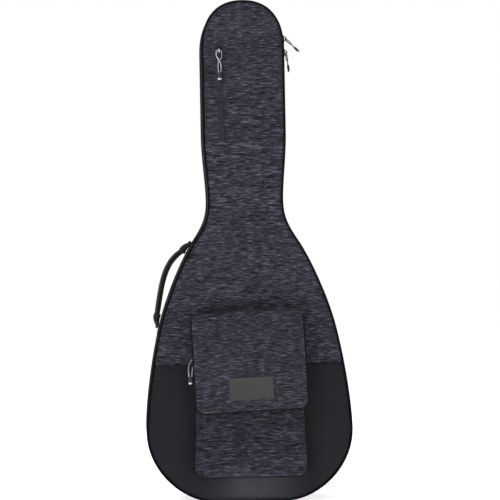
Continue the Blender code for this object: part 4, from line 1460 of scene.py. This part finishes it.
def makeHandle(side, node, ends, out):
    # node names the handle's body too
    facts = handles[side]
    low, top = (end + out * grip["lift"] for end in ends)
    along = (top - low).normalized()
    line = smoothLine([low.lerp(top, share) + out * (facts["rise"] * up) for share, up in handleShape], 5)
    count = len(line) - 1
    radii = [0.86 + 0.14 * min(1.0, 6 * min(i, count - i) / count) for i in range(count + 1)]
    core = tubeAlong(side + "HandleGrip", line, grip["radius"], sides=6, radii=radii)
    metres = routeLength(line)
    for entry in core.data.uv_layers[0].data:
        entry.uv = (entry.uv.x * 0.043, entry.uv.y * metres)
    handOver(core, side + "HandleGrip", node, finishes["webbing"], [node + "_grip"])
    across = along.cross(out).normalized()
    for k, way in enumerate((-1, 1)):
        aside = across * (way * grip["radius"] * 0.93)
        seam = [p + aside * share - out * 0.0012 for p, share in zip(line, radii)]
        ridge = tubeAlong(side + "HandleRidge" + str(k), seam[2:-2], 0.0011, sides=2)
        handOver(ridge, side + "HandleRidge" + str(k), node, finishes["piping"])
    for end, foot, away in (("Low", ends[0], -along), ("Top", ends[1], along)):
        makeHandleTab(side, node, end, foot, away, out, across)


def makeHandleTab(side, node, end, foot, away, out, across):
    # the handle's gathered end, and the flat foot that is sewn down
    half = handles[side]["tabHalf"]
    base = side + "HandleTab" + end
    neck = smoothLine([foot + away * a + out * o for a, o in (
        (-0.0050, 0.0120), (0.0030, 0.0118), (0.0110, 0.0088), (0.0190, 0.0046), (0.0270, 0.0030))], 4)
    gather = (1.0, 1.02, 1.04, 1.04, 1.03, 1.0, 0.96, 0.92, 0.86, 0.79, 0.72, 0.63, 0.54, 0.46, 0.40, 0.36, 0.33)
    sleeve = tubeAlong(base + "Sleeve", neck, 0.0080, sides=5, radii=gather)
    for entry in sleeve.data.uv_layers[0].data:
        entry.uv = (entry.uv.x * 0.05, entry.uv.y * 0.036)
    handOver(sleeve, base + "Sleeve", "root", finishes["webbing"], [node + "_tab_" + end.lower()])
    flat = smoothLine([foot + away * a + out * o for a, o in (
        (0.0090, 0.0100), (0.0150, 0.0072), (0.0220, 0.0040), (0.0300, 0.0026), (0.0420, 0.0024))], 4)
    if side == "side":  # the foot lies on the wall, which curves
        for point in flat:
            laid = min(1.0, max(0.0, ((point - foot).dot(away) - 0.012) / 0.014))
            point.x += (-wallX(point.z) - 0.0020 - point.x) * laid
    tab = strapAlong(base, flat, half, 0.0024, out)
    handOver(tab, base, "root", finishes["webbing"])
    lift, wide = out * 0.0013, across * (half - 0.0025)
    a, b = flat[-1] - away * 0.003 + lift, flat[-1] - away * 0.0150 + lift * 1.6
    boxStitch(base + "Stitch", [a - wide, a + wide, b + wide, b - wide], "root")


def makeHandles():
    facts = handles["side"]
    ends = [Vector((-wallX(z), facts["y"], z)) for z in (facts["lowZ"], facts["topZ"])]
    along = (ends[1] - ends[0]).normalized()
    out = along.cross(backwards).normalized()
    makeHandle("side", "side_handle", ends, -out if out.x > 0 else out)
    facts = handles["back"]
    ends = [Vector((0.0, facts["y"], z)) for z in (facts["lowZ"], facts["topZ"])]
    makeHandle("back", "back_handle", ends, backwards)


makeHandles()
print("handles made")


# Shoulder straps on the back

strap = {
    "points": ((0.042, 0.0115, 0.660), (0.044, 0.016, 0.610), (0.056, 0.022, 0.520), (0.076, 0.025, 0.400),
               (0.108, 0.017, 0.290)),  # across, off the back, up
    "ring": (0.160, 0.016, 0.120),
    "half": 0.0325, "thick": 0.0085, "puff": 0.0022, "voxel": 0.0034,
    "webHalf": 0.0125, "webThick": 0.0022,
}
yokeSize = (0.079, 0.050, 0.662, 0.722, 0.006, 0.012)  # half widths, heights and corners, low and top


def strapSpot(sign, across, off, up):
    return Vector((sign * across, bag["backY"] + off, up))


def padEdges(line, widths):
    left, right = [], []
    for i, point in enumerate(line):
        along = (line[min(i + 1, len(line) - 1)] - line[max(i - 1, 0)]).normalized()
        side = along.cross(backwards).normalized()
        left.append(point - side * widths[i])
        right.append(point + side * widths[i])
    return left, right


def makeShoulderPad(side, sign, body):
    line = smoothLine([strapSpot(sign, *p) for p in strap["points"]], 10)
    count = len(line) - 1
    narrowing = [max(0.0, (i / count - 0.72) / 0.28) ** 1.5 for i in range(count + 1)]
    widths = [strap["half"] * (1 - 0.42 * share) for share in narrowing]
    pad = strapAlong("shoulderPad" + side, line, widths, strap["thick"], backwards)
    left, right = padEdges(line, widths)
    tree = pointTree(left + right[::-1])
    puffUp(pad, strap["voxel"], 4.0, strap["puff"], lambda co: tree.find(co)[2] < 0.0085)
    smoothed(pad)
    handOver(pad, "shoulderPad" + side, body, finishes["mesh"], ["shoulder_pad_" + side.lower()])
    foot = [left[-1].lerp(right[-1], share) for share in (0.12, 0.88)]
    binding = tubeAlong("shoulderBinding" + side, smoothLine([*left[2:-1:3], *foot, *right[-2:1:-3]], 3), 0.0034,
                        sides=4)
    handOver(binding, "shoulderBinding" + side, body, finishes["piping"])
    inner = padEdges(line, [w - 0.0062 for w in widths])
    row = [p + backwards * (strap["thick"] / 2 + 0.0004) for p in inner[0][2:-1] + inner[1][-2:1:-1]]
    stitchRow("shoulderStitch" + side, row, body, closed=False)
    padTop = strap["thick"] / 2 + strap["puff"] * 0.9 + 0.0008
    lying = [p + backwards * padTop for p in line[14:]]
    web = strapAlong("padWebbing" + side, lying, strap["webHalf"], strap["webThick"], backwards)
    handOver(web, "padWebbing" + side, body, finishes["webbing"])
    for k, edge in enumerate(padEdges(lying, [strap["webHalf"] - 0.0022] * len(lying))):
        row = [p + backwards * (strap["webThick"] / 2 + 0.0001) for p in edge]
        stitchRow("padWebStitch" + side + str(k), row, body, closed=False)


def makeStrapHardware(side, sign, body):
    pads = strap["points"][-1]
    start, end = strapSpot(sign, pads[0], pads[1], pads[2]), strapSpot(sign, *strap["ring"])
    down = (end - start).normalized()
    across = down.cross(Vector((0, 1, 0))).normalized()
    out = across.cross(down).normalized()
    webEnd = end - down * 0.030
    web = strapAlong("strapWebbing" + side, [start - down * 0.006, start + down * 0.02, webEnd - down * 0.004, webEnd],
                     strap["webHalf"], strap["webThick"], out)
    handOver(web, "strapWebbing" + side, body, finishes["webbing"], ["strap_webbing_" + side.lower()])
    keeper = strapAlong("strapEndFold" + side, [webEnd - down * 0.0118 + out * 0.0022, webEnd - down * 0.007 + out * 0.0023,
                                                webEnd - down * 0.002 + out * 0.0021], strap["webHalf"], 0.0020, out)
    handOver(keeper, "strapEndFold" + side, body, finishes["webbing"])
    a, b, wide = webEnd - down * 0.004 + out * 0.0034, webEnd - down * 0.0102 + out * 0.0034, across * 0.0100
    boxStitch("strapEndStitch" + side, [a - wide, a + wide, b + wide, b - wide], body)

    middle = start + down * (0.0004 + 0.040)
    bars = []
    for x, o, z, wideHalf, thickHalf, longHalf in (
        (-0.0146, 0.0, 0.0, 0.0013, 0.0032, 0.0092), (0.0146, 0.0, 0.0, 0.0013, 0.0032, 0.0092),
        (0.0, 0.0024, -0.0074, 0.0146, 0.0009, 0.0018), (0.0, 0.0024, 0.0074, 0.0146, 0.0009, 0.0018),
        (0.0, -0.0026, 0.0, 0.0146, 0.0009, 0.0024),
    ):
        bpy.ops.mesh.primitive_cube_add(size=2.0)
        bar = bpy.context.object
        for vertex in bar.data.vertices:
            vx, vy, vz = vertex.co
            vertex.co = (middle + across * (x + vx * wideHalf) + out * (o + vy * thickHalf) + down * (z + vz * longHalf))
        bars.append(bar)
    adjuster = bars[0]
    for bar in bars[1:]:
        addModifier(adjuster, "BOOLEAN", operation="UNION", object=bar, solver="EXACT")
    applyAll(adjuster)
    for bar in bars[1:]:
        bpy.data.objects.remove(bar)
    facingOut(adjuster)
    addModifier(adjuster, "BEVEL", width=0.0005, segments=3, limit_method="ANGLE", angle_limit=radians(40))
    applyAll(adjuster)
    smoothed(adjuster, 40)
    handOver(adjuster, "strapAdjuster" + side, side.lower() + "_adjuster", finishes["plastic"],
             ["strap_adjuster_" + side.lower()])

    thick, lip, tip = 0.0021, 0.0030, 0.0095
    foot = webEnd + down * 0.0004
    reach = (end - foot).length + 0.0065
    shape = [(0.0, -thick), (0.0, thick), (reach, thick), (reach, -tip), (reach - lip, -tip), (reach - lip, -thick)]
    mesh = bpy.data.meshes.new("strapHook")
    mesh.from_pydata([foot + down * a + out * o - across * 0.0093 for a, o in shape], [], [tuple(range(6))])
    hook = bpy.data.objects.new("strapHook", mesh)
    bpy.context.scene.collection.objects.link(hook)
    editMode(hook)
    bpy.ops.mesh.extrude_region_move(TRANSFORM_OT_translate={"value": tuple(across * 0.0186)})
    objectMode()
    facingOut(hook)
    addModifier(hook, "BEVEL", width=0.0009, segments=3, limit_method="ANGLE", angle_limit=radians(40))
    applyAll(hook)
    smoothed(hook, 40)
    handOver(hook, "strapHook" + side, body, finishes["darkMetal"], ["strap_hook_" + side.lower()])

    half, length, upper, lower = 0.0135, 0.022, 0.0105, 0.0042
    corners = []
    for x, along, stand in ((-half, 0.0, upper), (half, 0.0, upper), (half, length, lower), (-half, length, lower)):
        corner = end + across * x + down * along
        corners.append(Vector((corner.x, bag["backY"] + stand, corner.z)))
    loop = []
    for i, corner in enumerate(corners):
        before, after = corners[i - 1], corners[(i + 1) % 4]
        a = corner.lerp(before, 0.0045 / (corner - before).length)
        b = corner.lerp(after, 0.0045 / (corner - after).length)
        loop += [a.lerp(corner, t).lerp(corner.lerp(b, t), t) for t in (0, 0.2, 0.4, 0.6, 0.8, 1)]
    ring = tubeAlong("strapRing" + side, loop, 0.0019, closed=True, sides=4)
    handOver(ring, "strapRing" + side, "root", finishes["darkMetal"], ["strap_ring_" + side.lower()])

    head = end + down * (length + 0.0023)
    ground = lambda point, off: Vector((point.x, bag["backY"] + off, point.z))
    tabLine = [ground(head + down * d, 0.0016) for d in (0.0, 0.008, 0.018, 0.034)]
    tab = strapAlong("strapTab" + side, tabLine, [0.0105, 0.0145, 0.0190, 0.0260], 0.0022, Vector((0, 1, 0)))
    handOver(tab, "strapTab" + side, "root", finishes["coated"], ["strap_tab_" + side.lower()])
    a, b = ground(head + down * 0.012, 0.0029), ground(head + down * 0.031, 0.0029)
    boxStitch("strapTabStitch" + side, [a - across * 0.0125, a + across * 0.0125, b + across * 0.0215, b - across * 0.0215],
              "root")
    bar = end + down * length
    loopLine = [ground(bar + down * d, o) for d, o in (
        (0.0150, 0.0040), (0.0060, 0.0046), (0.0015, 0.0072), (-0.0020, 0.0070), (-0.0036, 0.0046),
        (-0.0020, 0.0020), (0.0015, 0.0012), (0.0060, 0.0016))]
    loopTape = strapAlong("strapTabLoop" + side, smoothLine(loopLine, 3), 0.0102, 0.0013, Vector((0, 1, 0)))
    handOver(loopTape, "strapTabLoop" + side, "root", finishes["webbing"])


def toBack(piece):
    # a plate drawn for the front, turned to the back
    for vertex in piece.data.vertices:
        vertex.co.y = bag["backY"] - vertex.co.y
    piece.data.flip_normals()


def makeYoke():
    panel = plateBody("strapYoke", *yokeSize, 0.0004, [(0, 0.0026), (0.0016, 0.0010), (0.0050, 0.0006)])
    toBack(panel)
    smoothed(panel, 35)
    handOver(panel, "strapYoke", "root", finishes["coated"], ["strap_yoke"])
    plate = roundedPlate("yokeRim", *yokeSize, 0.0)
    rim = insetRing(rimOf(plate), 0.0042, 0.0)
    bpy.data.objects.remove(plate)
    stitchRow("yokeStitch", [Vector((p.x, bag["backY"] + 0.0043, p.z)) for p in rim], "root")


makeYoke()
for strapSide, strapSign in (("Left", -1), ("Right", 1)):
    strapBody = strapSide.lower() + "_strap"
    makeShoulderPad(strapSide, strapSign, strapBody)
    makeStrapHardware(strapSide, strapSign, strapBody)
print("shoulder straps made")


# Inside: plush linings, bound foam edges, the neck cradle and the tail block

inside = {"inset": 0.0152, "rearY": 0.0612, "lidY": -0.0616, "corner": 0.009}


def makeLining(name, y, mouth, looksFront, body, nodes, lean):
    depth = abs(mouth - y)
    dish = outlineBody(name, inside["inset"], y, [(0, depth / 4)] * 4, looksFront=looksFront)
    chooseFaces(dish, lambda face: len(face.verts) > 4 and abs(face.calc_center_median().y - mouth) < 0.001)
    bpy.ops.mesh.delete(type="FACE")
    objectMode()
    addModifier(dish, "BEVEL", width=inside["corner"], segments=4, limit_method="ANGLE", angle_limit=radians(60))
    addModifier(dish, "SOLIDIFY", thickness=0.0018, offset=-1)
    applyAll(dish)
    if lean:
        leanFront(dish)
    smoothed(dish, 45)
    handOver(dish, name, body, finishes["plush"], nodes)


def makeRim(name, y, looksFront, body, lean):
    ring = flatOutline(name, 0.0024, y)
    if not looksFront:
        ring.data.flip_normals()
    chooseFaces(ring, lambda face: True)
    bpy.ops.mesh.inset(thickness=0.0022, depth=0.0006)
    bpy.ops.mesh.inset(thickness=0.0100, depth=0.0)
    bpy.ops.mesh.inset(thickness=0.0022, depth=-0.0006)
    objectMode()
    chooseFaces(ring, lambda face: len(face.verts) > 4)
    bpy.ops.mesh.delete(type="FACE")
    objectMode()
    solidWall(ring, 0.0010)
    if lean:
        leanFront(ring)
    smoothed(ring, 40)
    handOver(ring, name, body, finishes["piping"])


def softBlock(name, section, axis, reach, voxel, nodes):
    # a foam block covered in plush: its section drawn, drawn out, then rounded
    mesh = bpy.data.meshes.new(name)
    mesh.from_pydata(section, [], [tuple(range(len(section)))])
    block = bpy.data.objects.new(name, mesh)
    bpy.context.scene.collection.objects.link(block)
    editMode(block)
    bpy.ops.mesh.extrude_region_move(TRANSFORM_OT_translate={"value": tuple(axis * reach)})
    objectMode()
    facingOut(block)
    addModifier(block, "REMESH", mode="VOXEL", voxel_size=voxel, use_smooth_shade=True)
    addModifier(block, "SMOOTH", iterations=6, factor=0.5)
    applyAll(block)
    smoothed(block)
    handOver(block, name, "root", finishes["plush"], nodes)


def makeInside():
    makeLining("rearLining", inside["rearY"], zipEdge + 0.0010, True, "root", ["rear_lining"], False)
    makeLining("lidLining", inside["lidY"], lidEdge - 0.0010, False, "lid", ["lid_lining", "lid_side_lining"], True)
    makeRim("rearRimBinding", zipEdge + 0.0004, True, "root", False)
    makeRim("lidRimBinding", lidEdge - 0.0004, False, "lid", True)
    back, seat, top, half, notch = 0.0590, 0.0292, 0.0094, 0.066, 0.030
    section = [(-half, back), (half, back), (half, top), (notch, top), (notch - 0.008, seat), (-notch + 0.008, seat),
               (-notch, top), (-half, top)]
    softBlock("neckCradle", [(x, y, 0.735) for x, y in section], Vector((0, 0, 1)), 0.055, 0.0028, ["neck_cradle"])
    section = [(-0.075, 0.0196), (0.075, 0.0196), (0.060, 0.0374), (-0.060, 0.0374)]
    softBlock("tailBlock", [(x, 0.0590, z) for x, z in section], Vector((0, -1, 0)), 0.0695, 0.0028, ["tail_block"])
    line = [Vector((x, 0.0073 + 0.0006 * cos(x * 60), 0.7625)) for x in
            (-0.0655, -0.052, -0.039, -0.026, -0.013, 0.0, 0.013, 0.026, 0.039, 0.052, 0.0615)]
    tape = strapAlong("neckStrap", line, 0.0172, 0.0022, Vector((0, -1, 0)))
    handOver(tape, "neckStrap", "root", finishes["webbing"], ["neck_strap"])
    a, b = Vector((-0.062, 0.0056, 0.7475)), Vector((-0.050, 0.0056, 0.7475))
    up = Vector((0, 0, 0.030))
    boxStitch("neckStrapStitch", [a, b, b + up, a + up], "root")


makeInside()
for nodeName, finish in (("side_foam", "foam"), ("lid_side_foam", "foam"), ("flap_hook_patch", "hook"),
                         ("pocket_loop_patch", "hook")):
    slots = frame["nodes"][nodeName].data.materials
    slots.clear()
    slots.append(finishes[finish])
print("inside made")


for guide in (outlineGuide, stitchMaster, toothMaster):
    bpy.data.objects.remove(guide)
